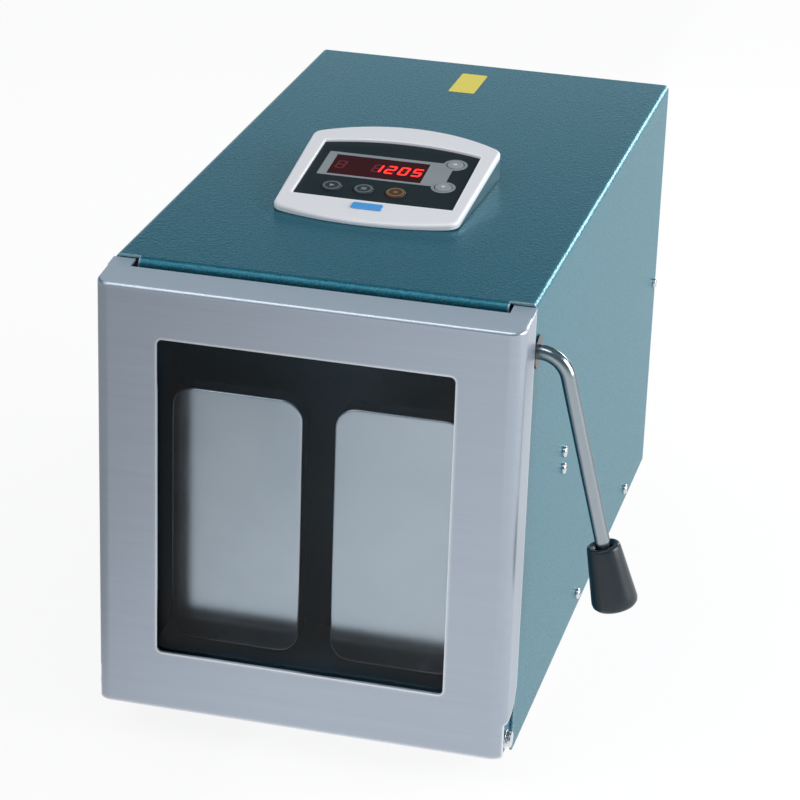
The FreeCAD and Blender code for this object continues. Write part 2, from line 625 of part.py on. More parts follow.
def chamber_liner():
    """Drawn steel tub behind the front frame, open to the door."""
    item = new_body("chamber_liner")
    outer = rectangle(facing(item, "frame_rear"), "0 - chamber_half - liner_sheet",
                      "chamber_low - liner_sheet", "chamber_half + liner_sheet",
                      "chamber_high + liner_sheet")
    pad(item, outer, "chamber_deep", reverse=True)
    inside = rectangle(facing(item, "frame_rear"), "0 - chamber_half", "chamber_low", "chamber_half",
                       "chamber_high")
    pocket(item, inside, "chamber_deep - liner_sheet")
    for x, up in ROD_PLACES:
        pocket(item, circle(facing(item, "liner_rear - liner_sheet - 1"), x, up, "oil_seal_radius"),
               "liner_sheet + 2")
    return keep(item, "chamber_liner")


def rear_panel():
    """Back sheet with folded edges, pressed louvres and the cut-outs of the supply."""
    item = new_body("rear_panel")
    pad(item, rectangle(facing(item, "rear_face - panel_sheet"), "0 - cover_inner", "case_low",
                        "cover_inner", "case_top - case_sheet"), "panel_sheet", reverse=True)
    for left, right in (("0 - cover_inner", "0 - cover_inner + panel_sheet"),
                        ("cover_inner - panel_sheet", "cover_inner")):
        pad(item, rectangle(facing(item, "rear_face - panel_sheet - panel_flange"), left,
                            "case_low + tray_high + 1", right, "case_top - case_bend - case_sheet"),
            "panel_flange", reverse=True)
    for row in range(9):
        for side in (-1, 1):
            middle = "%d * (louvre_long / 2 + 6)" % side
            low = "louvre_low + %d * louvre_step" % row
            left, right = "%s - louvre_long / 2" % middle, "%s + louvre_long / 2" % middle
            pocket(item, rectangle(facing(item, "rear_face - panel_sheet - 1"), left, low, right,
                                   "%s + louvre_wide" % low), "panel_sheet + 2")
    inlet = rectangle(facing(item, "rear_face - panel_sheet - 1"), "inlet_x - inlet_wide / 2",
                      "inlet_z - inlet_tall / 2", "inlet_x + inlet_wide / 2", "inlet_z + inlet_tall / 2")
    pocket(item, inlet, "panel_sheet + 2")
    switch = rectangle(facing(item, "rear_face - panel_sheet - 1"), "switch_x - switch_wide / 2",
                       "inlet_z - switch_tall / 2", "switch_x + switch_wide / 2",
                       "inlet_z + switch_tall / 2")
    pocket(item, switch, "panel_sheet + 2")
    pocket(item, circle(facing(item, "rear_face - panel_sheet - 1"), "fuse_x", "inlet_z", "fuse_radius"),
           "panel_sheet + 2")
    for back, up in SIDE_SCREWS[-1:]:
        pocket(item, circle(across(item), back, up, "screw_radius"))
    for x, up in REAR_SCREWS:
        pocket(item, circle(facing(item, "rear_face - panel_sheet - 1"), x, up, "screw_radius"),
               "panel_sheet + 2")
    soften(item, "case_bend", lambda e: runs(e, "y") and near(abs(e.BoundBox.XMax), "cover_inner")
           and near(e.BoundBox.ZMax, "case_top - case_sheet"))
    return keep(item, "rear_panel")


def rubber_feet():
    feet = []
    for index, (x, back) in enumerate(FEET):
        foot = cone("foot_%d" % index, "z", x, back, "0", "foot_radius * 0.85", "foot_radius", "foot_high")
        well = rod("foot_well_%d" % index, "z", x, back, "0 - 1", "foot_radius * 0.45", "foot_high / 2 + 1")
        hole = rod("foot_hole_%d" % index, "z", x, back, "0", "screw_radius", "foot_high")
        feet.append(cut("rubber_foot_%d" % index, foot, [join("foot_bore_%d" % index, [well, hole])]))
    return keep(group("rubber_feet", feet), "rubber_feet")


def foot_screws():
    screws = []
    for index, (x, back) in enumerate(FEET):
        head = rod("foot_screw_head_%d" % index, "z", x, back, "foot_high / 2 - screw_head_high",
                   "screw_head", "screw_head_high")
        shank = rod("foot_screw_shank_%d" % index, "z", x, back, "foot_high / 2", "screw_radius",
                    "foot_high / 2 + tray_sheet + 2")
        screws.append(join("foot_screw_%d" % index, [head, shank]))
    return screws


def side_screws():
    screws = []
    for index, (back, up) in enumerate(SIDE_SCREWS):
        head = rod("side_screw_head_%d" % index, "x", "case_half", back, up, "screw_head", "screw_head_high")
        shank = rod("side_screw_shank_%d" % index, "x", "case_half - screw_long", back, up, "screw_radius",
                    "screw_long")
        screws.append(pair("side_screw_both_%d" % index, join("side_screw_%d" % index, [head, shank])))
    return screws


def rear_screws():
    screws = []
    for index, (x, up) in enumerate(REAR_SCREWS):
        head = rod("rear_screw_head_%d" % index, "y", x, "rear_face", up, "screw_head", "screw_head_high")
        shank = rod("rear_screw_shank_%d" % index, "y", x, "rear_face - screw_long", up, "screw_radius",
                    "screw_long")
        screws.append(join("rear_screw_%d" % index, [head, shank]))
    return screws


def case_screws():
    return keep(group("case_screws", foot_screws() + side_screws() + rear_screws()), "case_screws")


# Door
def door_frame():
    """Folded stainless tray: rounded upright edges, rising top flange with corner tabs."""
    item = new_body("door_frame")
    side = outline(across(item), [
        ("0", "door_low"), ("0", "door_top"), ("door_depth", "door_top + flange_rise"),
        ("door_depth", "door_low")])
    pad(item, side, "2 * door_half", both=True)
    soften(item, "door_bend", lambda e: runs(e, "z") and near(e.BoundBox.YMax, "0"))
    soften(item, "door_fold", lambda e: near(e.BoundBox.YMin, "0") and near(e.BoundBox.ZMin, "door_top")
           and e.BoundBox.XLength > 20)
    doc.recompute()
    base = item.Tip
    open_face = ["Face%d" % (n + 1) for n, f in enumerate(base.Shape.Faces)
                 if near(f.BoundBox.YMin, "door_depth")]
    shell = item.newObject("PartDesign::Thickness", "door_shell")
    shell.Base = (base, open_face)
    shell.Reversed = True
    shell.Join = 0
    bind(shell, "Value", "door_sheet")
    top_back = rectangle(level(item, "door_top + flange_rise + 1"), "0 - door_half + tab_width",
                         "flange_depth", "door_half - tab_width", "door_depth + 1")
    pocket(item, top_back, "2 * door_sheet + flange_rise + 1")
    low_back = rectangle(level(item, "door_low - 1"), "0 - door_half - 1", "foot_fold", "door_half + 1",
                         "door_depth + 1")
    pocket(item, low_back, "door_sheet + 1", reverse=True)
    for left in ("0 - door_half - 1", "lug_inner"):
        corner = rectangle(across(item, left), "flange_stub", "door_low - 1", "door_depth + 1",
                           "door_low + flange_end")
        pocket(item, corner, "lug_inset + 1", reverse=True)
    for left in ("0 - door_half + door_sheet / 3", "door_half - tab_width"):
        tab = outline(across(item, left), [
            ("flange_depth - 1", "door_top + rise_slope * (flange_depth - 1)"),
            ("tab_depth", "door_top + rise_slope * tab_depth"),
            ("tab_depth", "door_top + rise_slope * tab_depth - door_sheet"),
            ("flange_depth - 1", "door_top + rise_slope * (flange_depth - 1) - door_sheet")])
        pad(item, tab, "tab_width - door_sheet / 3")
    window = rectangle(facing(item, "0 - 1"), "0 - window_half", "window_low", "window_half", "window_high")
    pocket(item, window, "door_sheet + 2")
    soften(item, "flange_corner", lambda e: runs(e, "x") and near(e.BoundBox.YMax, "door_depth")
           and near(e.BoundBox.ZMax, "door_low + flange_end"))
    soften(item, "window_corner", lambda e: runs(e, "y") and near(abs(e.BoundBox.XMax), "window_half"))
    return keep(item, "door_frame")


def frame_of(name, y, depth, outer, inner):
    """A flat rectangular ring: outer and inner are (half width, low, high)."""
    item = new_body(name)
    pad(item, rectangle(facing(item, y), "0 - (%s)" % outer[0], outer[1], outer[0], outer[2]), depth,
        reverse=True)
    pocket(item, rectangle(facing(item), "0 - (%s)" % inner[0], inner[1], inner[0], inner[2]))
    return item


def window_gasket():
    item = frame_of("window_gasket", "door_sheet", "gasket_thick", ("glass_half", "glass_low", "glass_high"),
                    ("window_half + gasket_lip", "window_low - gasket_lip", "window_high + gasket_lip"))
    return keep(item, "window_gasket")


def door_window():
    item = new_body("door_window")
    pad(item, rectangle(facing(item, "glass_front"), "0 - glass_half", "glass_low", "glass_half",
                        "glass_high"), "glass_thick", reverse=True)
    soften(item, "gasket_lip", lambda e: runs(e, "y"))
    return keep(item, "door_window")


def window_retainer():
    """Folded ring that clamps the glass and carries the chamber seal on its rear edge."""
    item = new_body("window_retainer")
    pad(item, rectangle(facing(item, "glass_rear"), "0 - ring_half", "ring_low", "ring_half", "ring_high"),
        "ring_depth - glass_rear", reverse=True)
    inside = rectangle(facing(item, "ring_face"), "0 - ring_half + ring_sheet", "ring_low + ring_sheet",
                       "ring_half - ring_sheet", "ring_high - ring_sheet")
    pocket(item, inside, "ring_depth - ring_face")
    pocket(item, rectangle(facing(item), "0 - window_half - ring_lap", "window_low - ring_lap",
                           "window_half + ring_lap", "window_high + ring_lap"))
    for x, up in STUDS:
        pocket(item, circle(facing(item), x, up, "stud_radius"))
    return keep(item, "window_retainer")


def retainer_nuts():
    """Studs welded inside the door with a hexagon nut on each, over the retainer."""
    nuts = [rod("stud_%d" % n, "y", x, "door_sheet", up, "stud_radius",
                "ring_face + nut_thick + stud_proud - door_sheet") for n, (x, up) in enumerate(STUDS)]
    for n, (x, up) in enumerate(STUDS):
        nut = doc.addObject("Part::Prism", "nut_body_%d" % n)
        nut.Polygon = 6
        nut.Placement = FreeCAD.Placement(FreeCAD.Vector(), TURN["y"])
        for letter, place in zip("xyz", (x, "ring_face", up)):
            bind(nut, "Placement.Base." + letter, place)
        bind(nut, "Circumradius", "nut_radius")
        bind(nut, "Height", "nut_thick")
        nuts.append(cut("nut_%d" % n, nut, [rod("nut_bore_%d" % n, "y", x, "ring_face", up, "stud_radius",
                                                "nut_thick")]))
    return keep(group("retainer_nuts", nuts), "retainer_nuts")


def door_seal():
    """Rubber frame on the ring's rear edge; its lip stops just short of the case front."""
    item = frame_of("door_seal", "ring_depth", "frame_front - seal_gap - ring_depth",
                    ("ring_half + seal_width / 2", "ring_low - seal_width / 2", "ring_high + seal_width / 2"),
                    ("ring_half - seal_width / 2", "ring_low + seal_width / 2", "ring_high - seal_width / 2"))
    soften(item, "seal_width / 4", lambda e: near(e.BoundBox.YMin, "frame_front - seal_gap"))
    return keep(item, "door_seal")


def hinge_lugs():
    """Ears inside the door's lower corners, one each side, that turn on the hinge screws."""
    item = new_body("door_lug")
    drawn = outline(across(item, "lug_inner"), [
        ("door_sheet", "door_low + door_sheet"), ("flange_stub", "door_low + door_sheet"),
        ("flange_stub", "door_low"), ("lug_depth", "door_low"), ("lug_depth", "door_low + lug_high / 2"),
        ("door_sheet", "door_low + lug_high")])
    pad(item, drawn, "lug_thick")
    pocket(item, circle(across(item), "hinge_back", "hinge_z", "pin_radius + sliding_fit + bush_wall"))
    return keep(pair("door_hinge_lugs", item), "door_hinge_lugs")


def hinge_bushes():
    body = rod("bush_sleeve", "x", "lug_inner", "hinge_back", "hinge_z",
               "pin_radius + sliding_fit + bush_wall", "lug_thick")
    collar = rod("bush_shoulder", "x", "lug_outer", "hinge_back", "hinge_z", "bush_collar",
                 "ear_inner - hinge_play - lug_outer")
    bore = rod("bush_bore", "x", "lug_inner", "hinge_back", "hinge_z", "pin_radius + sliding_fit",
               "ear_inner - lug_inner")
    bush = cut("hinge_bush", join("bush_solid", [body, collar]), [bore])
    return keep(pair("hinge_bushes", bush), "hinge_bushes")


def hinge_ears():
    """Side plates of the case that reach forward into the door and carry the hinge screws."""
    item = new_body("hinge_ear")
    pad(item, rectangle(across(item, "ear_inner"), "hinge_back - ear_round", "hinge_z - ear_round",
                        "ear_back", "case_low + ear_high"), "ear_sheet")
    pocket(item, circle(across(item), "hinge_back", "hinge_z", "pin_radius"))
    soften(item, "ear_round - 0.01", lambda e: runs(e, "x")
           and near(e.BoundBox.YMax, "hinge_back - ear_round")
           and near(e.BoundBox.ZMax, "hinge_z - ear_round"))
    soften(item, "ear_corner", lambda e: runs(e, "x") and near(e.BoundBox.YMax, "hinge_back - ear_round")
           and near(e.BoundBox.ZMax, "case_low + ear_high"))
    return keep(pair("hinge_ears", item), "hinge_ears")


def hinge_screws():
    washer = rod("hinge_washer", "x", "cover_inner", "hinge_back", "hinge_z", "washer_radius", "washer_thick")
    head = rod("hinge_head", "x", "cover_inner + washer_thick", "hinge_back", "hinge_z", "head_radius",
               "head_high")
    shank = rod("hinge_shank", "x", "lug_inner - hinge_tail", "hinge_back", "hinge_z", "pin_radius",
                "cover_inner - lug_inner + hinge_tail")
    top = "cover_inner + washer_thick + head_high"
    slot = block("hinge_slot", top + " - head_slot", top + " + head_slot", "hinge_back - head_slot / 2",
                 "hinge_back + head_slot / 2", "hinge_z - head_radius", "hinge_z + head_radius")
    screw = cut("hinge_screw", join("hinge_screw_solid", [washer, head, shank]), [slot])
    nut = ring("hinge_nut", "x", "lug_inner - hinge_play - hinge_nut_thick", "hinge_back", "hinge_z",
               "hinge_nut", "pin_radius", "hinge_nut_thick")
    both = [pair("hinge_screw_pair", screw), pair("hinge_nut_pair", nut)]
    return keep(group("hinge_screws", both), "hinge_screws")


def strikers():
    """Brackets welded inside the door, each with a pin beside its latch hook."""
    item = new_body("striker_plate")
    drawn = outline(across(item, "slot_side - striker_inset"), [
        ("door_sheet", "striker_z - striker_foot"), ("striker_y + striker_past", "striker_z - striker_end"),
        ("striker_y + striker_past", "striker_z + striker_end"), ("door_sheet", "striker_z + striker_foot")])
    pad(item, drawn, "striker_plate")
    start = "slot_side - striker_inset + striker_plate"
    pin = rod("striker_pin", "x", start, "striker_y", "striker_z", "striker_radius",
              "hook_inner - striker_gap - (%s)" % start)
    return keep(pair("latch_strikers", join("striker", [item, pin])), "latch_strikers")


# Latch
def lever_rod():
    """One bent rod: cross-shaft through the case, a bend, and the arm down to the knob."""
    item = new_body("lever_rod")
    section = circle(across(item, "lever_short - cover_inner"), "lever_back", "lever_z", "lever_radius")
    path = facing(item, "lever_back")
    start = ("lever_short - cover_inner", "lever_z")
    turn = ("lever_turn_x - lever_run", "lever_z")
    centre = ("lever_turn_x - lever_run", "lever_z - lever_bend")
    end = ("lever_turn_x + (knob_start + knob_long / 2) * sin(lever_splay)",
           "lever_z - (knob_start + knob_long / 2) * cos(lever_splay)")
    leave = ("lever_turn_x + lever_run * sin(lever_splay)", "lever_z - lever_run * cos(lever_splay)")

    def spot(place):
        return FreeCAD.Vector(number(place[0]), number(place[1]), 0)

    path.addGeometry(Part.LineSegment(spot(start), spot(turn)), False)
    bend = Part.Circle(spot(centre), FreeCAD.Vector(0, 0, 1), number("lever_bend"))
    path.addGeometry(Part.ArcOfCircle(bend, math.radians(number("lever_splay")), math.pi / 2), False)
    path.addGeometry(Part.LineSegment(spot(leave), spot(end)), False)
    path.addConstraint(Sketcher.Constraint("Coincident", 0, 2, 1, 2))
    path.addConstraint(Sketcher.Constraint("Coincident", 1, 1, 2, 1))
    held = path.addConstraint(Sketcher.Constraint("Radius", 1, number("lever_bend")))
    bind(path, "Constraints[%d]" % held, "lever_bend")
    pin_point(path, 0, 1, *start)
    pin_point(path, 0, 2, *turn)
    pin_point(path, 2, 1, *leave)
    pin_point(path, 2, 2, *end)
    pipe = item.newObject("PartDesign::AdditivePipe", "lever_pipe")
    pipe.Profile = section
    pipe.Spine = (path, [])
    return keep(item, "lever_rod")


def lever_knob():
    """Tapered knob turned about the arm's own axis, with a blind bore for the rod."""
    item = new_body("lever_knob")
    tip = "0 - knob_start - knob_long"
    revolved(item, [
        ("0", "0 - knob_start - knob_long / 2"), ("lever_radius", "0 - knob_start - knob_long / 2"),
        ("lever_radius", "0 - knob_start"), ("knob_neck", "0 - knob_start"), ("knob_end", tip),
        ("0", tip)])
    soften(item, "knob_round", lambda e: near(e.BoundBox.ZMax, tip) and near(e.BoundBox.XMax, "knob_end"))
    soften(item, "knob_lip", lambda e: near(e.BoundBox.ZMin, "0 - knob_start")
           and near(e.BoundBox.XMax, "knob_neck"))
    return keep(item, "lever_knob", ("lever_turn_x", "lever_back", "lever_z"),
                (FreeCAD.Vector(0, -1, 0), "lever_splay"))


def latch_hooks():
    """A hook on each end of the cross-shaft; its nose drops in front of the striker pin."""
    item = new_body("latch_hook")
    clear = "striker_radius + hook_play"
    drawn = outline(across(item, "hook_inner"), [
        ("lever_back + hook_slope", "lever_z + hook_hub * 0.95"),
        ("striker_y + hook_lead", "striker_z + hook_tall"),
        ("striker_y - hook_nose", "striker_z + hook_tip - hook_lead"),
        ("striker_y - hook_nose", "striker_z - hook_tip"),
        ("striker_y - hook_nose + hook_slope", "striker_z - hook_tip"),
        ("striker_y - (%s)" % clear, "striker_z - hook_lead"),
        ("striker_y - (%s)" % clear, "striker_z + (%s)" % clear),
        ("striker_y + (%s)" % clear, "striker_z + (%s)" % clear),
        ("lever_back - hook_heel", "lever_z - hook_hub * 0.85")])
    pad(item, drawn, "hook_thick")
    pad(item, circle(across(item, "hook_inner"), "lever_back", "lever_z", "hook_hub"), "hook_thick")
    pocket(item, circle(across(item), "lever_back", "lever_z", "lever_radius"))
    return keep(pair("latch_hooks", item), "latch_hooks")


def shaft_brackets():
    """Bearing brackets on the back of the front frame that carry the cross-shaft."""
    item = new_body("shaft_bracket")
    drawn = outline(across(item, "bracket_x - bracket_wide"), [
        ("frame_rear", "lever_z - bracket_foot_half"),
        ("lever_back + bracket_half_tall", "lever_z - bracket_half_tall"),
        ("lever_back + bracket_half_tall", "lever_z + bracket_half_tall"),
        ("frame_rear", "lever_z + bracket_foot_half")])
    pad(item, drawn, "bracket_wide")
    pocket(item, circle(across(item), "lever_back", "lever_z", "lever_radius + sliding_fit"))
    return keep(pair("shaft_brackets", item), "shaft_brackets")


def side_bush():
    sleeve = rod("side_bush_sleeve", "x", "cover_inner - side_bush_in", "lever_back", "lever_z", "side_bush",
                 "case_sheet + side_bush_in")
    flange = rod("side_bush_rim", "x", "case_half", "lever_back", "lever_z", "side_bush_flange",
                 "side_bush_lip")
    bore = rod("side_bush_bore", "x", "cover_inner - side_bush_in", "lever_back", "lever_z",
               "lever_radius + sliding_fit", "case_sheet + side_bush_in + side_bush_lip")
    return keep(cut("side_bush_cut", join("side_bush_solid", [sleeve, flange]), [bore]), "lever_bush")


# Paddles and drive
def paddle(name, x):
    """Drawn plate with turned-back rim, and a spine on its back for the guide rods."""
    item = new_body(name)
    left, right = "%s - paddle_width / 2" % x, "%s + paddle_width / 2" % x
    pad(item, rectangle(facing(item, "paddle_front"), left, "paddle_low", right,
                        "paddle_low + paddle_height"), "paddle_rim", reverse=True)
    soften(item, "paddle_corner", lambda e: runs(e, "y"))
    doc.recompute()
    base = item.Tip
    back = ["Face%d" % (n + 1) for n, f in enumerate(base.Shape.Faces)
            if near(f.BoundBox.YMin, "paddle_front + paddle_rim")]
    shell = item.newObject("PartDesign::Thickness", name + "_shell")
    shell.Base = (base, back)
    shell.Reversed = True
    bind(shell, "Value", "paddle_sheet")
    spine = rectangle(facing(item, "paddle_front + paddle_sheet"), "%s - spine_half" % x,
                      "drive_z - spine_end", "%s + spine_half" % x, "drive_z + spine_end")
    pad(item, spine, "spine_thick", reverse=True)
    soften(item, "paddle_edge", lambda e: near(e.BoundBox.YMax, "paddle_front"))
    return keep(item, name)


def guide_rods(name, x):
    rods = [rod("%s_%s" % (name, word), "y", x, "spine_rear", "drive_z %s rod_offset" % sign, "rod_radius",
                "rod_end - spine_rear") for word, sign in (("low", "-"), ("high", "+"))]
    return keep(group(name, rods), name)


def yoke(name, x):
    """Block clamped on both rods, with an upright slot that the eccentric roller works in."""
    item = new_body(name)
    start = "%s - yoke_thick / 2" % x
    pad(item, rectangle(across(item, start), "crank_back - yoke_half", "drive_z - yoke_tall",
                        "crank_back + yoke_half", "drive_z + yoke_tall"), "yoke_thick")
    reach = "roller_radius + roller_gap"
    climb = "roller_radius + throw + roller_end_gap"
    pocket(item, rectangle(across(item), "crank_back - (%s)" % reach, "drive_z - (%s)" % climb,
                           "crank_back + (%s)" % reach, "drive_z + (%s)" % climb))
    for sign in "-+":
        pocket(item, circle(facing(item), x, "drive_z %s rod_offset" % sign, "rod_radius"))
    soften(item, "yoke_corner", lambda e: runs(e, "x") and (
        near(e.BoundBox.ZMax, "drive_z - yoke_tall") or near(e.BoundBox.ZMax, "drive_z + yoke_tall")))
    return keep(item, name)


def bushings_and_seals():
    bushings, seals = [], []
    for n, (x, up) in enumerate(ROD_PLACES):
        for word, back in (("front", "guide_front - (bushing_long - guide_thick) / 2"),
                           ("rear", "guide_rear - (bushing_long - guide_thick) / 2")):
            bushings.append(ring("bushing_%s_%d" % (word, n), "y", x, back, up, "bushing_radius",
                                 "rod_radius + sliding_fit", "bushing_long"))
        lip = rod("seal_lip_%d" % n, "y", x, "liner_rear", up, "oil_seal_flange", "oil_seal_thick")
        core = rod("seal_core_%d" % n, "y", x, "liner_rear - liner_sheet - oil_seal_thick", up,
                   "oil_seal_radius", "liner_sheet + oil_seal_thick")
        bore = rod("seal_bore_%d" % n, "y", x, "liner_rear - liner_sheet - oil_seal_thick", up,
                   "rod_radius + sliding_fit", "liner_sheet + 2 * oil_seal_thick")
        seals.append(cut("rod_seal_%d" % n, join("seal_solid_%d" % n, [lip, core]), [bore]))
    keep(group("linear_bushings", bushings), "linear_bushings")
    keep(group("rod_seals", seals), "rod_seals")


def guide_plate(name, y, foot_from):
    """Upright plate with the four bushing bores, a window between them and a foot."""
    item = new_body(name)
    pad(item, rectangle(facing(item, y), "0 - guide_half", "tray_floor", "guide_half", "guide_top"),
        "guide_thick", reverse=True)
    pad(item, rectangle(facing(item, foot_from), "0 - guide_half", "tray_floor", "guide_half",
                        "tray_floor + guide_foot_thick"), "guide_foot", reverse=True)
    for x, up in ROD_PLACES:
        pocket(item, circle(facing(item), x, up, "bushing_radius"))
    pocket(item, rectangle(facing(item), "0 - paddle_gap", "drive_z - rod_offset", "paddle_gap",
                           "drive_z + rod_offset"))
    return keep(item, name)


def drive_side_plates():
    item = new_body("drive_side_plate")
    pad(item, rectangle(across(item, "side_plate"), "guide_front + guide_thick", "drive_z - side_plate_half",
                        "guide_rear", "drive_z + side_plate_half"), "side_plate_thick")
    pocket(item, circle(across(item), "crank_back", "drive_z", "bearing_radius"))
    return keep(pair("drive_side_plates", item), "drive_side_plates")


def crank_bearings():
    race = ring("crank_bearing", "x", "side_plate", "crank_back", "drive_z", "bearing_radius",
                "shaft_radius + sliding_fit", "side_plate_thick")
    return keep(pair("crank_bearings", race), "crank_bearings")


def crankshaft():
    """Straight shaft with two eccentric cheeks half a turn apart."""
    shaft = rod("crank_bar", "x", "0 - plate_outer - shaft_over", "crank_back", "drive_z", "shaft_radius",
                "plate_outer + 2 * shaft_over + pulley_at + pulley_wide")
    cheeks = [rod("cheek_" + word, "x", "%s paddle_x - cheek_long / 2" % sign, "crank_back",
                  "drive_z %s throw" % lift, "cheek_radius", "cheek_long")
              for word, sign, lift in (("left", "0 -", "+"), ("right", "", "-"))]
    return keep(join("crankshaft", [shaft] + cheeks), "crankshaft")


def eccentric_bearings():
    races = [ring("roller_" + word, "x", "%s paddle_x - roller_wide / 2" % sign, "crank_back",
                  "drive_z %s throw" % lift, "roller_radius", "cheek_radius", "roller_wide")
             for word, sign, lift in (("left", "0 -", "+"), ("right", "", "-"))]
    return keep(group("eccentric_bearings", races), "eccentric_bearings")


def pulley(name, y, up, radius, bore):
    wheel = rod(name + "_wheel", "x", "pulley_at", y, up, radius, "pulley_wide")
    lips = [rod("%s_lip_%d" % (name, n), "x", place, y, up, "%s + pulley_lip" % radius, "lip_thick")
            for n, place in enumerate(("pulley_at - lip_thick", "pulley_at + pulley_wide"))]
    hole = rod(name + "_bore", "x", "pulley_at - lip_thick", y, up, bore, "pulley_wide + 2 * lip_thick")
    return keep(cut(name, join(name + "_solid", [wheel] + lips), [hole]), name)


def drive_belt():
    item = new_body("drive_belt")
    places = ("crank_back", "drive_z", "pulley_radius + belt_gap", "motor_back", "motor_up",
              "pinion_radius + belt_gap")
    outside = list(places)
    outside[2] += " + belt_thick"
    outside[5] += " + belt_thick"
    start = "pulley_at + lip_thick / 2"
    pad(item, looped(across(item, start), *outside), "pulley_wide - lip_thick")
    pocket(item, looped(across(item), *places))
    return keep(item, "drive_belt")


def motor():
    """Motor can with end bells and foot bracket; the rotor shaft is a piece of its own."""
    start = "motor_face - motor_long"
    can = rod("motor_can", "x", "%s + bell_long" % start, "motor_back", "motor_up", "motor_radius",
              "motor_long - 2 * bell_long")
    bells = [rod("motor_bell_%d" % n, "x", place, "motor_back", "motor_up", "bell_radius", "bell_long")
             for n, place in enumerate((start, "motor_face - bell_long"))]
    bore = rod("motor_bore", "x", "%s + bell_long" % start, "motor_back", "motor_up",
               "motor_shaft + sliding_fit", "motor_long")
    keep(cut("motor_body", join("motor_solid", [can] + bells), [bore]), "motor_body")
    shaft = rod("motor_shaft_bar", "x", "%s + 2 * bell_long" % start, "motor_back", "motor_up",
                "motor_shaft", "shaft_end - (%s + 2 * bell_long)" % start)
    keep(group("motor_rotor", [shaft]), "motor_rotor")
    item = new_body("motor_bracket")
    pad(item, rectangle(across(item, "motor_face"), "motor_back - bracket_half", "tray_floor",
                        "motor_back + bracket_half", "motor_up + bracket_half"), "bracket_thick")
    pad(item, rectangle(level(item, "tray_floor"), "motor_face - bracket_foot", "motor_back - bracket_half",
                        "motor_face", "motor_back + bracket_half"), "bracket_thick")
    pocket(item, circle(across(item, "motor_face + bracket_thick + 1"), "motor_back", "motor_up",
                        "2 * motor_shaft"), "bracket_thick + 2")
    return keep(item, "motor_bracket")


def drive_board():
    """Circuit board of the motor drive on four posts above the tray."""
    top = "tray_floor + drive_post_high"
    right, rear = "drive_board_x + drive_board_wide", "drive_board_back + drive_board_long"
    pieces = [block("drive_board_plate", "drive_board_x", right, "drive_board_back", rear, top,
                    top + " + board_thick")]
    corners = [(x, back) for x in ("drive_board_x + drive_post_inset", right + " - drive_post_inset")
               for back in ("drive_board_back + drive_post_inset", rear + " - drive_post_inset")]
    for n, (x, back) in enumerate(corners):
        pieces.append(rod("drive_post_%d" % n, "z", x, back, "tray_floor", "drive_post", "drive_post_high"))
    return keep(group("drive_board", pieces), "drive_board")


def board_components():
    """Choke, capacitors and finned heat sink in a row, which stand on the drive board."""
    top = "tray_floor + drive_post_high + board_thick"
    middle = "drive_board_x + drive_board_wide / 2"
    front = "drive_board_back + part_gap"
    pieces = [block("choke", middle + " - choke_side / 2", middle + " + choke_side / 2", front,
                    front + " + choke_side", top, top + " + choke_high")]
    for n in range(2):
        back = "%s + choke_side + part_gap + can_radius + %d * (2 * can_radius + part_gap)" % (front, n)
        pieces.append(rod("capacitor_%d" % n, "z", middle, back, top, "can_radius", "can_high"))
    rear = "drive_board_back + drive_board_long - part_gap"
    start = middle + " - 2 * fin_step - fin_thick / 2"
    comb = [block("fin_base", start, start + " + 4 * fin_step + fin_thick", rear + " - fin_long", rear, top,
                  top + " + fin_thick")]
    for n in range(5):
        left = "%s + %d * fin_step" % (start, n)
        comb.append(block("fin_%d" % n, left, left + " + fin_thick", rear + " - fin_long", rear, top,
                          top + " + fin_high"))
    pieces.append(join("heat_sink", comb))
    return keep(group("board_components", pieces), "board_components")


# Console
def console_bezel():
    """White wedge-shaped surround with bowed front and rear, open in the middle."""
    item = new_body("console_bezel")
    deep = "(console_depth + bow_rear) * tilt_slope + rim_high + 2"
    drawn = bowed(level(item, "rim_high"), "0 - console_half_front", "0", "console_half_front",
                  "console_depth", "bow_front", "bow_rear", "console_half_rear - console_half_front")
    pad(item, drawn, deep, reverse=True)
    under = outline(across(item), [
        ("0 - 2 * bow_front", "2 * bow_front * tilt_slope"),
        ("console_depth + 2 * bow_rear", "0 - (console_depth + 2 * bow_rear) * tilt_slope"),
        ("console_depth + 2 * bow_rear", "0 - console_depth"), ("0 - 2 * bow_front", "0 - console_depth")])
    pocket(item, under)
    seat = bowed(level(item, "rim_high"), "0 - panel_half", "panel_front", "panel_half",
                 "panel_rear", "panel_front_bow", "panel_bow")
    pocket(item, seat, "rim_high - panel_base")
    opening = rectangle(level(item, "panel_base"), "0 - panel_half + ledge", "panel_front + ledge",
                        "panel_half - ledge", "panel_rear - ledge")
    pocket(item, opening, deep)
    side, before, behind = (number(text) for text in ("console_half_front - 1", "panel_front - 2",
                                                      "panel_rear + panel_bow + 1"))
    soften(item, "corner_round", lambda e: runs(e, "z") and abs(e.BoundBox.XMax) > side)
    soften(item, "rim_round", lambda e: near(e.BoundBox.ZMin, "rim_high")
           and (abs(e.BoundBox.XMax) > side or e.BoundBox.YMax < before or e.BoundBox.YMin > behind))
    return on_console(item, "console_bezel")


def console_panel():
    item = new_body("console_panel")
    drawn = bowed(level(item, "panel_top"), "0 - panel_half", "panel_front", "panel_half",
                  "panel_rear", "panel_front_bow", "panel_bow")
    pad(item, drawn, "panel_thick", reverse=True)
    for name, x, y, radius in KEYS:
        pocket(item, circle(level(item, "panel_top + 1"), x, y, radius + " + key_gap"), "panel_thick + 2")
    lens = rectangle(level(item, "panel_top + 1"), "0 - lens_left", "lens_front", "lens_right", "lens_rear")
    pocket(item, lens, "panel_thick + 2")
    return on_console(item, "console_panel")


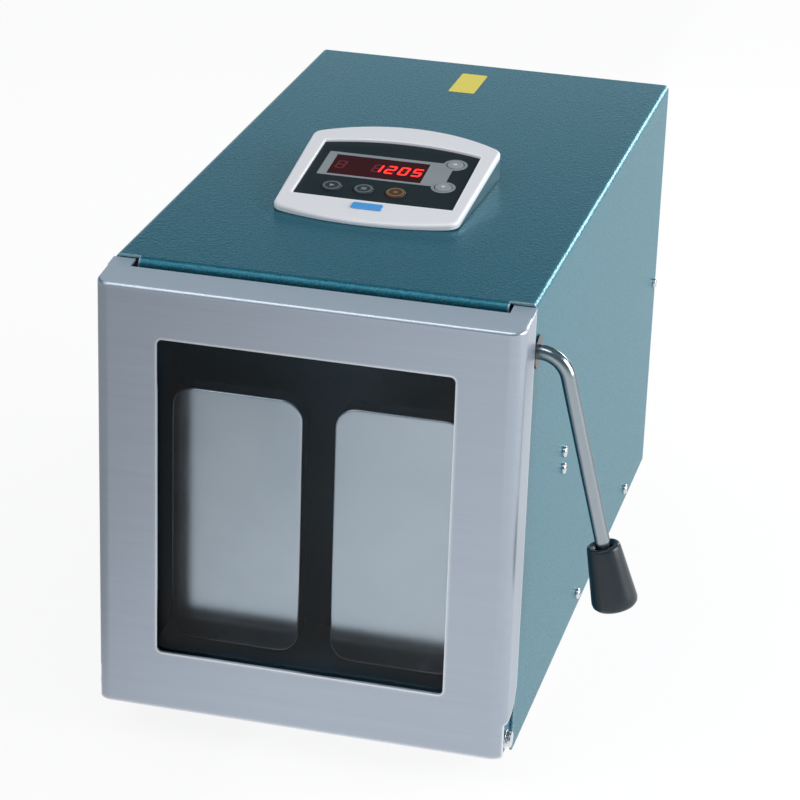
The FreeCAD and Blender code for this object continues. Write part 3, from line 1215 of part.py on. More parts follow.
def display_window():
    item = new_body("display_window")
    lens = rectangle(level(item, "panel_top"), "0 - lens_left", "lens_front", "lens_right", "lens_rear")
    pad(item, lens, "panel_thick", reverse=True)
    return on_console(item, "display_window")


def display_module():
    item = new_body("display_module")
    face = rectangle(level(item, "board_top"), "1 - lens_left", "lens_front + 1", "lens_right - 1",
                     "lens_rear - 1")
    pad(item, face, "panel_base - board_top")
    return on_console(item, "display_module")


def control_board():
    """Board under the panel on four posts, with a push switch below each key."""
    pieces = [block("control_plate", "0 - board_half", "board_half", "board_front", "board_rear",
                    "board_top - board_thick", "board_top")]
    spots = [("post_inset - board_half", "lens_front - 2 * post_radius"), ("arrow_x", "key_row"),
             ("post_inset - board_half", "lens_rear + 2 * post_radius"),
             ("arrow_x", "(arrow_low + arrow_high) / 2")]
    for n, (x, y) in enumerate(spots):
        pieces.append(rod("control_post_%d" % n, "z", x, y, "board_top", "post_radius",
                          "panel_base - board_top"))
    for name, x, y, radius in KEYS:
        pieces.append(rod(name + "_switch", "z", x, y, "board_top", "switch_stem",
                          "key_bottom - key_travel - switch_gap - board_top"))
    return on_console(group("control_board", pieces), "control_board")


def console_key(name, x, y, radius):
    """Domed key cap with a skirt below the panel that keeps it in its hole."""
    item = new_body(name)
    pad(item, circle(level(item, "key_bottom"), x, y, radius + " + key_skirt"), "key_skirt_thick")
    pad(item, circle(level(item, "key_bottom"), x, y, radius), "panel_top + key_proud - key_bottom")
    soften(item, "key_proud", lambda e: near(e.BoundBox.ZMin, "panel_top + key_proud"))
    return on_console(item, name)


# Supply side
def power_inlet():
    """Appliance inlet: flange outside the rear panel, a socket with three pins inside."""
    item = new_body("power_inlet")
    pad(item, rectangle(facing(item, "rear_face - inlet_deep"), "inlet_x - inlet_wide / 2",
                        "inlet_z - inlet_tall / 2", "inlet_x + inlet_wide / 2", "inlet_z + inlet_tall / 2"),
        "inlet_deep", reverse=True)
    pad(item, rectangle(facing(item, "rear_face"), "inlet_x - inlet_wide / 2 - inlet_rim",
                        "inlet_z - inlet_tall / 2 - inlet_rim", "inlet_x + inlet_wide / 2 + inlet_rim",
                        "inlet_z + inlet_tall / 2 + inlet_rim"), "inlet_plate", reverse=True)
    mouth = rectangle(facing(item, "rear_face + inlet_plate - socket_deep"), "inlet_x - socket_wide / 2",
                      "inlet_z - socket_tall / 2", "inlet_x + socket_wide / 2", "inlet_z + socket_tall / 2")
    pocket(item, mouth, "socket_deep")
    for n in (-1, 0, 1):
        middle = "inlet_x + %d * prong_step" % n
        lift = "prong_thick" if n == 0 else "0"
        pin = rectangle(facing(item, "rear_face + inlet_plate - socket_deep"), middle + " - prong_thick / 2",
                        "inlet_z + %s - prong_wide / 2" % lift, middle + " + prong_thick / 2",
                        "inlet_z + %s + prong_wide / 2" % lift)
        pad(item, pin, "prong_long", reverse=True)
    return keep(item, "power_inlet")


def fuse_holder():
    barrel = rod("fuse_barrel", "y", "fuse_x", "rear_face - fuse_deep", "inlet_z", "fuse_radius", "fuse_deep")
    cap = cone("fuse_cap", "y", "fuse_x", "rear_face", "inlet_z", "fuse_cap", "fuse_cap - 1", "fuse_proud")
    slot = block("fuse_slot", "fuse_x - fuse_cap", "fuse_x + fuse_cap", "rear_face + fuse_proud - 1.5",
                 "rear_face + fuse_proud + 1", "inlet_z - 0.6", "inlet_z + 0.6")
    return keep(cut("fuse_holder", join("fuse_solid", [barrel, cap]), [slot]), "fuse_holder")


def switch_frame():
    item = new_body("switch_frame")
    pad(item, rectangle(facing(item, "rear_face - switch_deep"), "switch_x - switch_wide / 2",
                        "inlet_z - switch_tall / 2", "switch_x + switch_wide / 2",
                        "inlet_z + switch_tall / 2"), "switch_deep", reverse=True)
    pad(item, rectangle(facing(item, "rear_face"), "switch_x - switch_wide / 2 - switch_rim",
                        "inlet_z - switch_tall / 2 - switch_rim", "switch_x + switch_wide / 2 + switch_rim",
                        "inlet_z + switch_tall / 2 + switch_rim"), "switch_rim", reverse=True)
    room = rectangle(facing(item, "rear_face - switch_deep + switch_rim"),
                     "switch_x - rocker_half - rocker_gap", "inlet_z - rocker_room",
                     "switch_x + rocker_half + rocker_gap", "inlet_z + rocker_room")
    pocket(item, room, "switch_deep")
    reach = "rocker_half + rocker_gap + rocker_stub_long"
    bore = circle(across(item, "switch_x + " + reach), "rear_face + switch_rim - rocker_back", "inlet_z",
                  "rocker_stub + sliding_fit")
    pocket(item, bore, "2 * (%s)" % reach)
    return keep(item, "switch_frame")


def rocker():
    """Rocker of the supply switch: a shallow V that tips on two stubs in the frame's side walls."""
    item = new_body("rocker_switch")
    y = "rear_face + switch_rim - rocker_back"
    drawn = outline(across(item, "switch_x - rocker_half"), [
        (y + " + rocker_face", "inlet_z"), (y + " + rocker_face", "inlet_z - rocker_tall"),
        (y + " - rocker_back / 2", "inlet_z - rocker_tall + rocker_back / 2"),
        (y + " - rocker_back", "inlet_z"),
        (y + " - rocker_back / 2", "inlet_z + rocker_tall - rocker_back / 2"),
        (y + " + rocker_face + rocker_tall * sin(rocker_angle)",
         "inlet_z + rocker_tall * cos(rocker_angle)")])
    pad(item, drawn, "2 * rocker_half")
    reach = "rocker_half + rocker_gap + rocker_stub_long - sliding_fit"
    stubs = circle(across(item, "switch_x - (%s)" % reach), y, "inlet_z", "rocker_stub")
    pad(item, stubs, "2 * (%s)" % reach)
    return keep(item, "rocker_switch")


housing_cover()
base_tray()
front_frame()
chamber_liner()
rear_panel()
rubber_feet()
case_screws()
door_frame()
window_gasket()
door_window()
window_retainer()
retainer_nuts()
door_seal()
hinge_lugs()
hinge_bushes()
hinge_ears()
hinge_screws()
strikers()
lever_rod()
lever_knob()
latch_hooks()
shaft_brackets()
side_bush()
for side, middle in (("left", "(0 - paddle_x)"), ("right", "paddle_x")):
    paddle(side + "_paddle", middle)
    guide_rods(side + "_guide_rods", middle)
    yoke(side + "_yoke", middle)
bushings_and_seals()
guide_plate("front_guide_plate", "guide_front", "guide_front + guide_thick")
guide_plate("rear_guide_plate", "guide_rear", "guide_rear - guide_foot")
drive_side_plates()
crank_bearings()
crankshaft()
eccentric_bearings()
pulley("crank_pulley", "crank_back", "drive_z", "pulley_radius", "shaft_radius")
pulley("motor_pulley", "motor_back", "motor_up", "pinion_radius", "motor_shaft")
drive_belt()
motor()
drive_board()
board_components()
console_bezel()
console_panel()
display_window()
display_module()
control_board()
for key in KEYS:
    console_key(*key)
power_inlet()
fuse_holder()
switch_frame()
rocker()

doc.recompute()
faults = [item.Name for item in doc.Objects if {"Invalid", "Error"} & set(item.State)]
for item in doc.Objects:
    if item.TypeId == "PartDesign::Pocket":
        before = item.BaseFeature.Shape.Volume
        if item.Shape.isNull() or item.Shape.Volume > before - 0.01:
            faults.append(item.Name + " removes nothing")
for item in nodes:
    if item.Shape.isNull() or not item.Shape.isValid() or item.Shape.Volume <= 0:
        faults.append(item.Label + " has no sound shape")
if faults:
    raise RuntimeError("not built: " + ", ".join(faults))

os.makedirs("parts", exist_ok=True)
for item in nodes:
    item.Shape.exportStep("parts/%s.step" % item.Label)
    print("%-22s %2d solids %9.1f mm3" % (item.Label, len(item.Shape.Solids), item.Shape.Volume))
print(len(nodes), "nodes")
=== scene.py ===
# %% [markdown]
# A laboratory bag mixer: a folded steel case in hammered teal paint, a brushed stainless door with
# a clear window, two pressed paddles behind it, a bent latch lever and a keypad console on the top.
# The construction comes from the frame. This lesson gives it finishes, and models the pieces whose
# look the plain solids can't hold, such as the bent rod, the knob, the digits and the printed field.

# %% Load the frame
import bpy
import json
import math
from mathutils import Matrix, Vector

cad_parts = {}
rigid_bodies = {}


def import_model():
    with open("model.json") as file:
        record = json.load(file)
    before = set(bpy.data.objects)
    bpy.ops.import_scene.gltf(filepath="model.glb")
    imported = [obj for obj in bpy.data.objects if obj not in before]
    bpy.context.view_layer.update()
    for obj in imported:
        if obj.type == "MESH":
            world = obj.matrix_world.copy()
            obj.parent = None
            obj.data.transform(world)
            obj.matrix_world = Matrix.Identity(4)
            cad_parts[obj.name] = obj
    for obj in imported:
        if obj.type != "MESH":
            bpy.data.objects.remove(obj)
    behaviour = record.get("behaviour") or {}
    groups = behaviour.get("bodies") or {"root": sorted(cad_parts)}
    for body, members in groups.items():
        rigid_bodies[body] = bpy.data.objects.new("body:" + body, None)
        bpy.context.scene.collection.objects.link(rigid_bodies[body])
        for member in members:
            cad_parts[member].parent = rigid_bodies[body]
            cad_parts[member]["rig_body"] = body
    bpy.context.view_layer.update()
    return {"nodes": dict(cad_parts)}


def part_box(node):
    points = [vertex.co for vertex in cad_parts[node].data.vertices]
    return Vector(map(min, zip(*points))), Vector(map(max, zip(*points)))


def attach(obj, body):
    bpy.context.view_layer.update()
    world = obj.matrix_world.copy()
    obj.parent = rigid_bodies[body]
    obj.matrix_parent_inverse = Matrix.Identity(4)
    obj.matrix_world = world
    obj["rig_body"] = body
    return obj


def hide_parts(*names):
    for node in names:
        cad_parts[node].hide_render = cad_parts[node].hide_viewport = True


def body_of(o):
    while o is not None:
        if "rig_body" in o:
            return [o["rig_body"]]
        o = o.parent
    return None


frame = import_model()
MM = 0.001
bpy.ops.object.select_all(action="DESELECT")

# %% [markdown]
# The machine has two directions that matter to every piece: across, with the lever on the right,
# and back from the door. Two helpers read a node's box, so that each piece is placed from what it
# sits on. The others tidy the selection that every operator acts on, and do the small jobs that
# come after most operators.


# %% Small helpers
def low(node):
    return Vector(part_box(node)[0])


def high(node):
    return Vector(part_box(node)[1])


def only(piece):
    """Leave just this piece selected and active."""
    bpy.ops.object.select_all(action="DESELECT")
    piece.select_set(True)
    bpy.context.view_layer.objects.active = piece
    return piece


def joined(pieces, name):
    """Make one piece of several, under one name."""
    only(pieces[0])
    for piece in pieces:
        piece.select_set(True)
    if len(pieces) > 1:
        bpy.ops.object.join()
    bpy.context.object.name = name
    return bpy.context.object


def settle():
    """Put the selected piece's place, turn and scale into its mesh."""
    bpy.ops.object.transform_apply(location=True, rotation=True, scale=True)


def edit_all():
    bpy.ops.object.mode_set(mode="EDIT")
    bpy.ops.mesh.select_all(action="SELECT")


def face_outwards():
    """Turn every face outwards, and leave edit mode."""
    bpy.ops.mesh.select_all(action="SELECT")
    bpy.ops.mesh.normals_make_consistent(inside=False)
    bpy.ops.object.mode_set(mode="OBJECT")


# %% [markdown]
# The photograph was taken from a little above and right of the door with a long lens, so that the
# box narrows only slightly towards the back. A camera of 132.6 mm on a 36 mm sensor, turned two
# degrees on its own axis, repeats the way the edges run.

# %% Camera
CAMERA_PLACE = (0.34225, -1.53539, 0.80266)
CAMERA_TURN = (66.726, -1.837, 14.481)
LENS = 132.58

bpy.ops.object.camera_add(location=CAMERA_PLACE, rotation=[math.radians(a) for a in CAMERA_TURN])
camera = bpy.context.object
camera.data.lens = LENS
camera.data.sensor_width = 36.0
bpy.context.scene.camera = camera
bpy.context.scene.view_settings.view_transform = "Standard"

# %% [markdown]
# The studio is plain: a white paper floor and soft lamps. What the camera, a mirror or clear glass
# sees of the paper is not what lights the machine. To the camera it is almost white, with the
# shadow still on it. To mirrors and glass it runs from grey on the left to white on the right,
# which gives the paddles and the door their shading.


# %% Studio
PAPER_LIFT = 0.88
MIRROR_LEVEL = (0.42, 1.02)
MIRROR_REACH = (-0.34, -0.04)


def seen_rays(tree):
    """Two sockets: 1 for camera, mirror and glass rays, and 1 for the camera's rays alone."""
    rays = tree.nodes.new("ShaderNodeLightPath")
    first = tree.nodes.new("ShaderNodeMath")
    second = tree.nodes.new("ShaderNodeMath")
    first.operation = second.operation = "MAXIMUM"
    tree.links.new(rays.outputs["Is Camera Ray"], first.inputs[0])
    tree.links.new(rays.outputs["Is Glossy Ray"], first.inputs[1])
    tree.links.new(first.outputs[0], second.inputs[0])
    tree.links.new(rays.outputs["Is Transmission Ray"], second.inputs[1])
    return second.outputs[0], rays.outputs["Is Camera Ray"]


def paper_material(name, colour):
    """Matt paper that keeps its shadow, and is lifted towards white where it is seen."""
    material = bpy.data.materials.new(name)
    material.use_nodes = True
    tree = material.node_tree
    shader = tree.nodes["Principled BSDF"]
    shader.inputs["Base Color"].default_value = (*colour, 1)
    shader.inputs["Roughness"].default_value = 0.9
    glow = tree.nodes.new("ShaderNodeEmission")
    glow.inputs["Color"].default_value = (1, 1, 1, 1)
    seen, by_camera = seen_rays(tree)
    place = tree.nodes.new("ShaderNodeTexCoord")
    parts = tree.nodes.new("ShaderNodeSeparateXYZ")
    tree.links.new(place.outputs["Object"], parts.inputs[0])
    across = tree.nodes.new("ShaderNodeMapRange")
    across.interpolation_type = "SMOOTHSTEP"
    for label, ends in (("From", MIRROR_REACH), ("To", MIRROR_LEVEL)):
        across.inputs[label + " Min"].default_value = ends[0]
        across.inputs[label + " Max"].default_value = ends[1]
    tree.links.new(parts.outputs["X"], across.inputs["Value"])
    lit = tree.nodes.new("ShaderNodeMath")
    lit.operation = "MAXIMUM"
    tree.links.new(across.outputs["Result"], lit.inputs[0])
    tree.links.new(by_camera, lit.inputs[1])
    tree.links.new(lit.outputs[0], glow.inputs["Strength"])
    share = tree.nodes.new("ShaderNodeMath")
    share.operation = "MULTIPLY"
    share.inputs[1].default_value = PAPER_LIFT
    tree.links.new(seen, share.inputs[0])
    blend = tree.nodes.new("ShaderNodeMixShader")
    tree.links.new(share.outputs[0], blend.inputs["Fac"])
    tree.links.new(shader.outputs["BSDF"], blend.inputs[1])
    tree.links.new(glow.outputs["Emission"], blend.inputs[2])
    tree.links.new(blend.outputs["Shader"], tree.nodes["Material Output"].inputs["Surface"])
    return material


FLOOR_HALF = 3.0
bpy.ops.mesh.primitive_plane_add(size=2 * FLOOR_HALF, location=(0, 0, 0))
floor = bpy.context.object
floor.name = "floor"
floor.data.materials.append(paper_material("floor_paper", (0.88, 0.88, 0.89)))
print("floor: %.0f m across" % (2 * FLOOR_HALF))

# %% [markdown]
# Above the paper is the room. Its even light comes from a pale world, which the camera sees as
# white. Mirrors and glass see a room that is pale grey low down and a deep blue grey overhead, and
# that is why the top of the case looks deeper than its side, though both have the same paint.

# %% The room
AIR_LIGHT = 0.66
AIR_COLOUR = (0.93, 0.95, 1.0, 1)
HORIZON = (0.60, 0.66, 0.70, 1)
OVERHEAD = (0.13, 0.19, 0.23, 1)
OVERHEAD_FROM = 0.26

world = bpy.data.worlds.new("studio_air")
world.use_nodes = True
tree = world.node_tree
air = tree.nodes["Background"]
air.inputs["Color"].default_value = AIR_COLOUR
air.inputs["Strength"].default_value = AIR_LIGHT
seen, by_camera = seen_rays(tree)
toward = tree.nodes.new("ShaderNodeTexCoord")
parts = tree.nodes.new("ShaderNodeSeparateXYZ")
tree.links.new(toward.outputs["Generated"], parts.inputs[0])
height = tree.nodes.new("ShaderNodeMapRange")
height.interpolation_type = "SMOOTHSTEP"
height.inputs["From Min"].default_value = 0.0
height.inputs["From Max"].default_value = OVERHEAD_FROM
tree.links.new(parts.outputs["Z"], height.inputs["Value"])
room = tree.nodes.new("ShaderNodeMix")
room.data_type = "RGBA"
room.inputs[6].default_value = HORIZON
room.inputs[7].default_value = OVERHEAD
tree.links.new(height.outputs["Result"], room.inputs["Factor"])
view_white = tree.nodes.new("ShaderNodeMix")
view_white.data_type = "RGBA"
view_white.inputs[7].default_value = (1, 1, 1, 1)
tree.links.new(by_camera, view_white.inputs["Factor"])
tree.links.new(room.outputs[2], view_white.inputs[6])
backdrop = tree.nodes.new("ShaderNodeBackground")
tree.links.new(view_white.outputs[2], backdrop.inputs["Color"])
choice = tree.nodes.new("ShaderNodeMixShader")
tree.links.new(seen, choice.inputs["Fac"])
tree.links.new(air.outputs[0], choice.inputs[1])
tree.links.new(backdrop.outputs[0], choice.inputs[2])
tree.links.new(choice.outputs[0], tree.nodes["World Output"].inputs["Surface"])
bpy.context.scene.world = world

# %% [markdown]
# Three lamps light the machine: a large one over the front left, the strongest at the right for the
# side panel, and a weak strip behind that lifts the back of the top. Two more reach only shiny
# surfaces. A fold in sheet steel is a narrow mirror, and these two draw the bright line along the
# case's upper right fold and the one along the door's top fold.

# %% Lamps
LAMPS = {
    "key_lamp": ((-0.9, -1.3, 1.5), (0, -0.1, 0.15), (1.2, 1.0), 7),
    "side_lamp": ((1.9, 0.1, 0.9), (0.1, 0.1, 0.1), (1.4, 1.2), 34),
    "rear_strip": ((-0.2, 1.05, 0.44), (0, 0.2, 0.28), (1.2, 0.28), 0.8),
    "edge_lamp": ((0.51, 1.12, 0.52), (0.13, 0, 0.27), (0.36, 0.36), 5.0),
    "fold_lamp": ((-0.1, -0.5, 1.25), (0, -0.2, 0.28), (1.0, 0.32), 3.6),
}
ONLY_REFLECTED = ("edge_lamp", "fold_lamp")

for name, (place, aim, size, power) in LAMPS.items():
    bpy.ops.object.light_add(type="AREA", location=place)
    lamp = bpy.context.object
    lamp.name = name
    lamp.data.shape = "RECTANGLE"
    lamp.data.size, lamp.data.size_y = size
    lamp.data.energy = power
    lamp.rotation_euler = (Vector(aim) - Vector(place)).to_track_quat("-Z", "Y").to_euler()
    lamp.visible_diffuse = name not in ONLY_REFLECTED
print("lamps:", list(LAMPS))

# %% [markdown]
# A finish is more than a colour. Hammered paint has soft pits a millimetre or two across and fine
# flecks; brushed steel has long scratches that run one way; handled parts carry faint smudges; and
# edges are lighter, partly where paint is rubbed thin and partly by a painted highlight. Each of
# these effects serves several materials, so each is built once as a shader group with named
# sockets, and a material gives it its own scale.


# %% Helpers for shader groups
def group_of(name, inputs, outputs):
    tree = bpy.data.node_groups.new(name, "ShaderNodeTree")
    for label, value in inputs.items():
        socket = tree.interface.new_socket(label, in_out="INPUT", socket_type="NodeSocketFloat")
        socket.default_value = value
    for label in outputs:
        tree.interface.new_socket(label, in_out="OUTPUT", socket_type="NodeSocketFloat")
    start = tree.nodes.new("NodeGroupInput")
    end = tree.nodes.new("NodeGroupOutput")
    return tree, start, end


def node(tree, kind, **values):
    """Add a node, and set its sockets by name and its settings by attribute."""
    item = tree.nodes.new(kind)
    for label, value in values.items():
        words = label.replace("_", " ")
        match = [s for s in item.inputs if s.name.lower() == words]
        if match:
            match[0].default_value = value
        else:
            setattr(item, label, value)
    return item


def math_node(tree, operation, first, second):
    item = tree.nodes.new("ShaderNodeMath")
    item.operation = operation
    for socket, value in zip(item.inputs, (first, second)):
        if hasattr(value, "is_linked"):
            tree.links.new(value, socket)
        else:
            socket.default_value = value
    return item.outputs[0]


# %% [markdown]
# Hammered paint dries in soft round pits. A smooth Voronoi texture gives the pits, and a finer
# noise ripples over them and picks out the flecks.

# %% Hammered paint
RIPPLE_SHARE = 0.45


def make_hammered():
    """Soft round pits with a finer ripple: Height for the bump, Fleck to vary the colour."""
    tree, start, end = group_of("hammered_surface", {"Pits": 520.0, "Ripple": 1500.0},
                                ["Height", "Fleck"])
    place = tree.nodes.new("ShaderNodeTexCoord")
    pits = node(tree, "ShaderNodeTexVoronoi", feature="SMOOTH_F1", smoothness=0.6)
    ripple = node(tree, "ShaderNodeTexNoise", detail=3.0, roughness=0.6)
    tree.links.new(place.outputs["Object"], pits.inputs["Vector"])
    tree.links.new(place.outputs["Object"], ripple.inputs["Vector"])
    tree.links.new(start.outputs["Pits"], pits.inputs["Scale"])
    tree.links.new(start.outputs["Ripple"], ripple.inputs["Scale"])
    mixed = math_node(tree, "MULTIPLY_ADD", ripple.outputs["Fac"], RIPPLE_SHARE)
    tree.links.new(pits.outputs["Distance"], mixed.node.inputs[2])
    tree.links.new(mixed, end.inputs["Height"])
    spread = node(tree, "ShaderNodeMapRange", from_min=0.35, from_max=0.68)
    tree.links.new(ripple.outputs["Fac"], spread.inputs["Value"])
    tree.links.new(spread.outputs["Result"], end.inputs["Fleck"])
    return tree


# %% [markdown]
# Brushed steel carries scratches that run one way. Noise does that when its coordinates are drawn
# out: the scale is small along the grain and large across it. Fine scratches and broad streaks are
# mixed, because an even grain looks printed.

# %% Brushed grain
FINE_SHARE = 0.6


def make_brushed():
    """Long scratches along one axis: each axis has its own scale, small along the grain."""
    tree, start, end = group_of("brushed_grain", {"X": 30.0, "Y": 2500.0, "Z": 2500.0},
                                ["Height", "Streak"])
    place = tree.nodes.new("ShaderNodeTexCoord")
    scale = tree.nodes.new("ShaderNodeCombineXYZ")
    for letter in "XYZ":
        tree.links.new(start.outputs[letter], scale.inputs[letter])
    stretched = node(tree, "ShaderNodeVectorMath", operation="MULTIPLY")
    tree.links.new(place.outputs["Object"], stretched.inputs[0])
    tree.links.new(scale.outputs[0], stretched.inputs[1])
    fine = node(tree, "ShaderNodeTexNoise", scale=1.0, detail=4.0, roughness=0.65)
    broad = node(tree, "ShaderNodeTexNoise", scale=0.12, detail=2.0)
    for texture in (fine, broad):
        tree.links.new(stretched.outputs[0], texture.inputs["Vector"])
    tree.links.new(fine.outputs["Fac"], end.inputs["Height"])
    shares = [math_node(tree, "MULTIPLY", texture.outputs["Fac"], share)
              for texture, share in ((fine, FINE_SHARE), (broad, 1 - FINE_SHARE))]
    tree.links.new(math_node(tree, "ADD", *shares), end.inputs["Streak"])
    return tree


# %% [markdown]
# Edges are lighter than the faces: partly paint rubbed thin, partly a painted highlight of the kind
# a fold catches from a lamp. A Bevel node gives the normal that a rounded edge would have, and where
# it turns away from the real normal there is an edge. Noise breaks the line a little.

# %% Edge wear and painted highlight
WEAR_AND_HIGHLIGHT_GAIN = 7.0
WEAR_AND_HIGHLIGHT_LEAST = 0.4


def make_wear_and_highlight():
    """A mask along outer edges: how far a rounded normal turns from the real one."""
    tree, start, end = group_of("edge_wear_and_highlight", {"Radius": 0.0012, "Amount": 1.0}, ["Mask"])
    rounded = node(tree, "ShaderNodeBevel", samples=4)
    tree.links.new(start.outputs["Radius"], rounded.inputs["Radius"])
    facing = tree.nodes.new("ShaderNodeNewGeometry")
    compare = node(tree, "ShaderNodeVectorMath", operation="DOT_PRODUCT")
    tree.links.new(rounded.outputs["Normal"], compare.inputs[0])
    tree.links.new(facing.outputs["Normal"], compare.inputs[1])
    turned = math_node(tree, "SUBTRACT", 1.0, compare.outputs["Value"])
    place = tree.nodes.new("ShaderNodeTexCoord")
    patchy = node(tree, "ShaderNodeTexNoise", scale=90.0, detail=5.0)
    tree.links.new(place.outputs["Object"], patchy.inputs["Vector"])
    kept = math_node(tree, "MULTIPLY_ADD", patchy.outputs["Fac"], 1 - WEAR_AND_HIGHLIGHT_LEAST)
    kept.node.inputs[2].default_value = WEAR_AND_HIGHLIGHT_LEAST
    rubbed_and_lit = math_node(tree, "MULTIPLY", math_node(tree, "MULTIPLY", turned, WEAR_AND_HIGHLIGHT_GAIN), kept)
    amount = math_node(tree, "MULTIPLY", rubbed_and_lit, start.outputs["Amount"])
    amount.node.use_clamp = True
    tree.links.new(amount, end.inputs["Mask"])
    return tree


# %% [markdown]
# Handled parts are never quite even. Broad cloudy noise stands for the smudges, and moves a
# finish's colour and roughness a little.


# %% Handling marks
def make_handling():
    """Cloudy smudges a few centimetres across, for roughness and tint."""
    tree, start, end = group_of("handling_marks", {"Size": 14.0}, ["Smudge"])
    place = tree.nodes.new("ShaderNodeTexCoord")
    cloud = node(tree, "ShaderNodeTexNoise", detail=5.0, roughness=0.55)
    tree.links.new(place.outputs["Object"], cloud.inputs["Vector"])
    tree.links.new(start.outputs["Size"], cloud.inputs["Scale"])
    soft = node(tree, "ShaderNodeMapRange", from_min=0.3, from_max=0.7)
    tree.links.new(cloud.outputs["Fac"], soft.inputs["Value"])
    tree.links.new(soft.outputs["Result"], end.inputs["Smudge"])
    return tree


HAMMERED, BRUSHED, WEAR_AND_HIGHLIGHT, HANDLING = make_hammered(), make_brushed(), make_wear_and_highlight(), make_handling()
print("shader groups:", [g.name for g in (HAMMERED, BRUSHED, WEAR_AND_HIGHLIGHT, HANDLING)])

# %% [markdown]
# Most finishes share one recipe: two close colours that a mask moves between, a roughness that the
# same mask shifts, and a fine bump. A helper wires that recipe from any group's outputs, and sets
# everything that is even over the surface on the shader itself. A second helper is for the many
# parts whose finish varies only by the marks of handling.

# %% The finish helper
BUMP_STRENGTH = 0.5


def finish(name, dark, light, rough, group, mask, height=None, depth=0.0, wear=None, values=None,
           **even):
    """A material that moves between two colours and two roughnesses by a group's mask."""
    material = bpy.data.materials.new(name)
    material.use_nodes = True
    tree = material.node_tree
    shader = tree.nodes["Principled BSDF"]
    for label, value in even.items():
        shader.inputs[label.replace("_", " ")].default_value = value
    effect = tree.nodes.new("ShaderNodeGroup")
    effect.node_tree = group
    for label, value in (values or {}).items():
        effect.inputs[label].default_value = value
    colour = node(tree, "ShaderNodeMix", data_type="RGBA")
    for socket, value in ((colour.inputs[6], dark), (colour.inputs[7], light)):
        socket.default_value = (*value, 1)
    tree.links.new(effect.outputs[mask], colour.inputs["Factor"])
    result = colour.outputs[2]
    if wear:
        rubbed_and_lit, radius, amount = wear
        edge = tree.nodes.new("ShaderNodeGroup")
        edge.node_tree = WEAR_AND_HIGHLIGHT
        edge.inputs["Radius"].default_value = radius
        edge.inputs["Amount"].default_value = amount
        worn_and_lit = node(tree, "ShaderNodeMix", data_type="RGBA")
        worn_and_lit.inputs[7].default_value = (*rubbed_and_lit, 1)
        tree.links.new(edge.outputs["Mask"], worn_and_lit.inputs["Factor"])
        tree.links.new(result, worn_and_lit.inputs[6])
        result = worn_and_lit.outputs[2]
    tree.links.new(result, shader.inputs["Base Color"])
    if rough[0] == rough[1]:
        shader.inputs["Roughness"].default_value = rough[0]
    else:
        polish = node(tree, "ShaderNodeMapRange", to_min=rough[0], to_max=rough[1])
        tree.links.new(effect.outputs[mask], polish.inputs["Value"])
        tree.links.new(polish.outputs["Result"], shader.inputs["Roughness"])
    if height:
        bump = node(tree, "ShaderNodeBump", strength=BUMP_STRENGTH, distance=depth)
        tree.links.new(effect.outputs[height], bump.inputs["Height"])
        tree.links.new(bump.outputs["Normal"], shader.inputs["Normal"])
    return material


def smudged(name, dark, light, rough, **even):
    """A finish that varies only by the marks of handling."""
    return finish(name, dark, light, rough, HANDLING, "Smudge", **even)


# %% [markdown]
# Three finishes need one thing more. The lever's round bar gets a painted shade: its colour goes
# dark where it turns away from the view. Faces of the door that look up get a painted highlight:
# they are lighter in colour, and duller. The console's moulding is painted like the case below its
# rim. Each change goes in front of the colour that the finish already has.

# %% Changes to a finish: painted shade, painted highlight, two-tone paint
FLANK_FROM, FLANK_TO = 0.30, 0.78
UPWARD_FROM, UPWARD_TO = 0.75, 0.97


def recoloured(material, amount, colour):
    """Move a material's base colour towards another one by a socket's amount."""
    tree = material.node_tree
    shader = tree.nodes["Principled BSDF"]
    blend = node(tree, "ShaderNodeMix", data_type="RGBA")
    blend.inputs[7].default_value = (*colour, 1)
    tree.links.new(amount, blend.inputs["Factor"])
    tree.links.new(shader.inputs["Base Color"].links[0].from_socket, blend.inputs[6])
    tree.links.new(blend.outputs[2], shader.inputs["Base Color"])


def painted_flank_shade(material, colour):
    """Painted shade: darken a round bar's colour where it turns away from the view."""
    tree = material.node_tree
    turned = tree.nodes.new("ShaderNodeLayerWeight")
    turned.inputs["Blend"].default_value = 0.5
    spread = node(tree, "ShaderNodeMapRange", from_min=FLANK_FROM, from_max=FLANK_TO)
    tree.links.new(turned.outputs["Facing"], spread.inputs["Value"])
    recoloured(material, spread.outputs["Result"], colour)


def painted_top_highlight(material, colour, rough):
    """Painted highlight: make the faces that look up lighter in colour, and duller."""
    tree = material.node_tree
    shader = tree.nodes["Principled BSDF"]
    facing = tree.nodes.new("ShaderNodeNewGeometry")
    parts = tree.nodes.new("ShaderNodeSeparateXYZ")
    tree.links.new(facing.outputs["Normal"], parts.inputs[0])
    upward = node(tree, "ShaderNodeMapRange", from_min=UPWARD_FROM, from_max=UPWARD_TO)
    tree.links.new(parts.outputs["Z"], upward.inputs["Value"])
    recoloured(material, upward.outputs["Result"], colour)
    polish = node(tree, "ShaderNodeMix", data_type="FLOAT")
    polish.inputs[3].default_value = rough
    tree.links.new(upward.outputs["Result"], polish.inputs["Factor"])
    tree.links.new(shader.inputs["Roughness"].links[0].from_socket, polish.inputs[2])
    tree.links.new(polish.outputs[0], shader.inputs["Roughness"])


def painted_below(material, corner, tilt, thick, paint, metal):
    """Paint whatever lies deeper than a thickness under a tilted plane through a corner."""
    tree = material.node_tree
    shader = tree.nodes["Principled BSDF"]
    place = tree.nodes.new("ShaderNodeTexCoord")
    across = node(tree, "ShaderNodeVectorMath", operation="DOT_PRODUCT")
    upward = Vector((0, -math.sin(tilt), math.cos(tilt)))
    across.inputs[1].default_value = upward
    tree.links.new(place.outputs["Object"], across.inputs[0])
    limit = upward.dot(corner) - thick
    below = math_node(tree, "LESS_THAN", across.outputs["Value"], limit)
    recoloured(material, below, paint)
    tree.links.new(math_node(tree, "MULTIPLY", below, metal), shader.inputs["Metallic"])
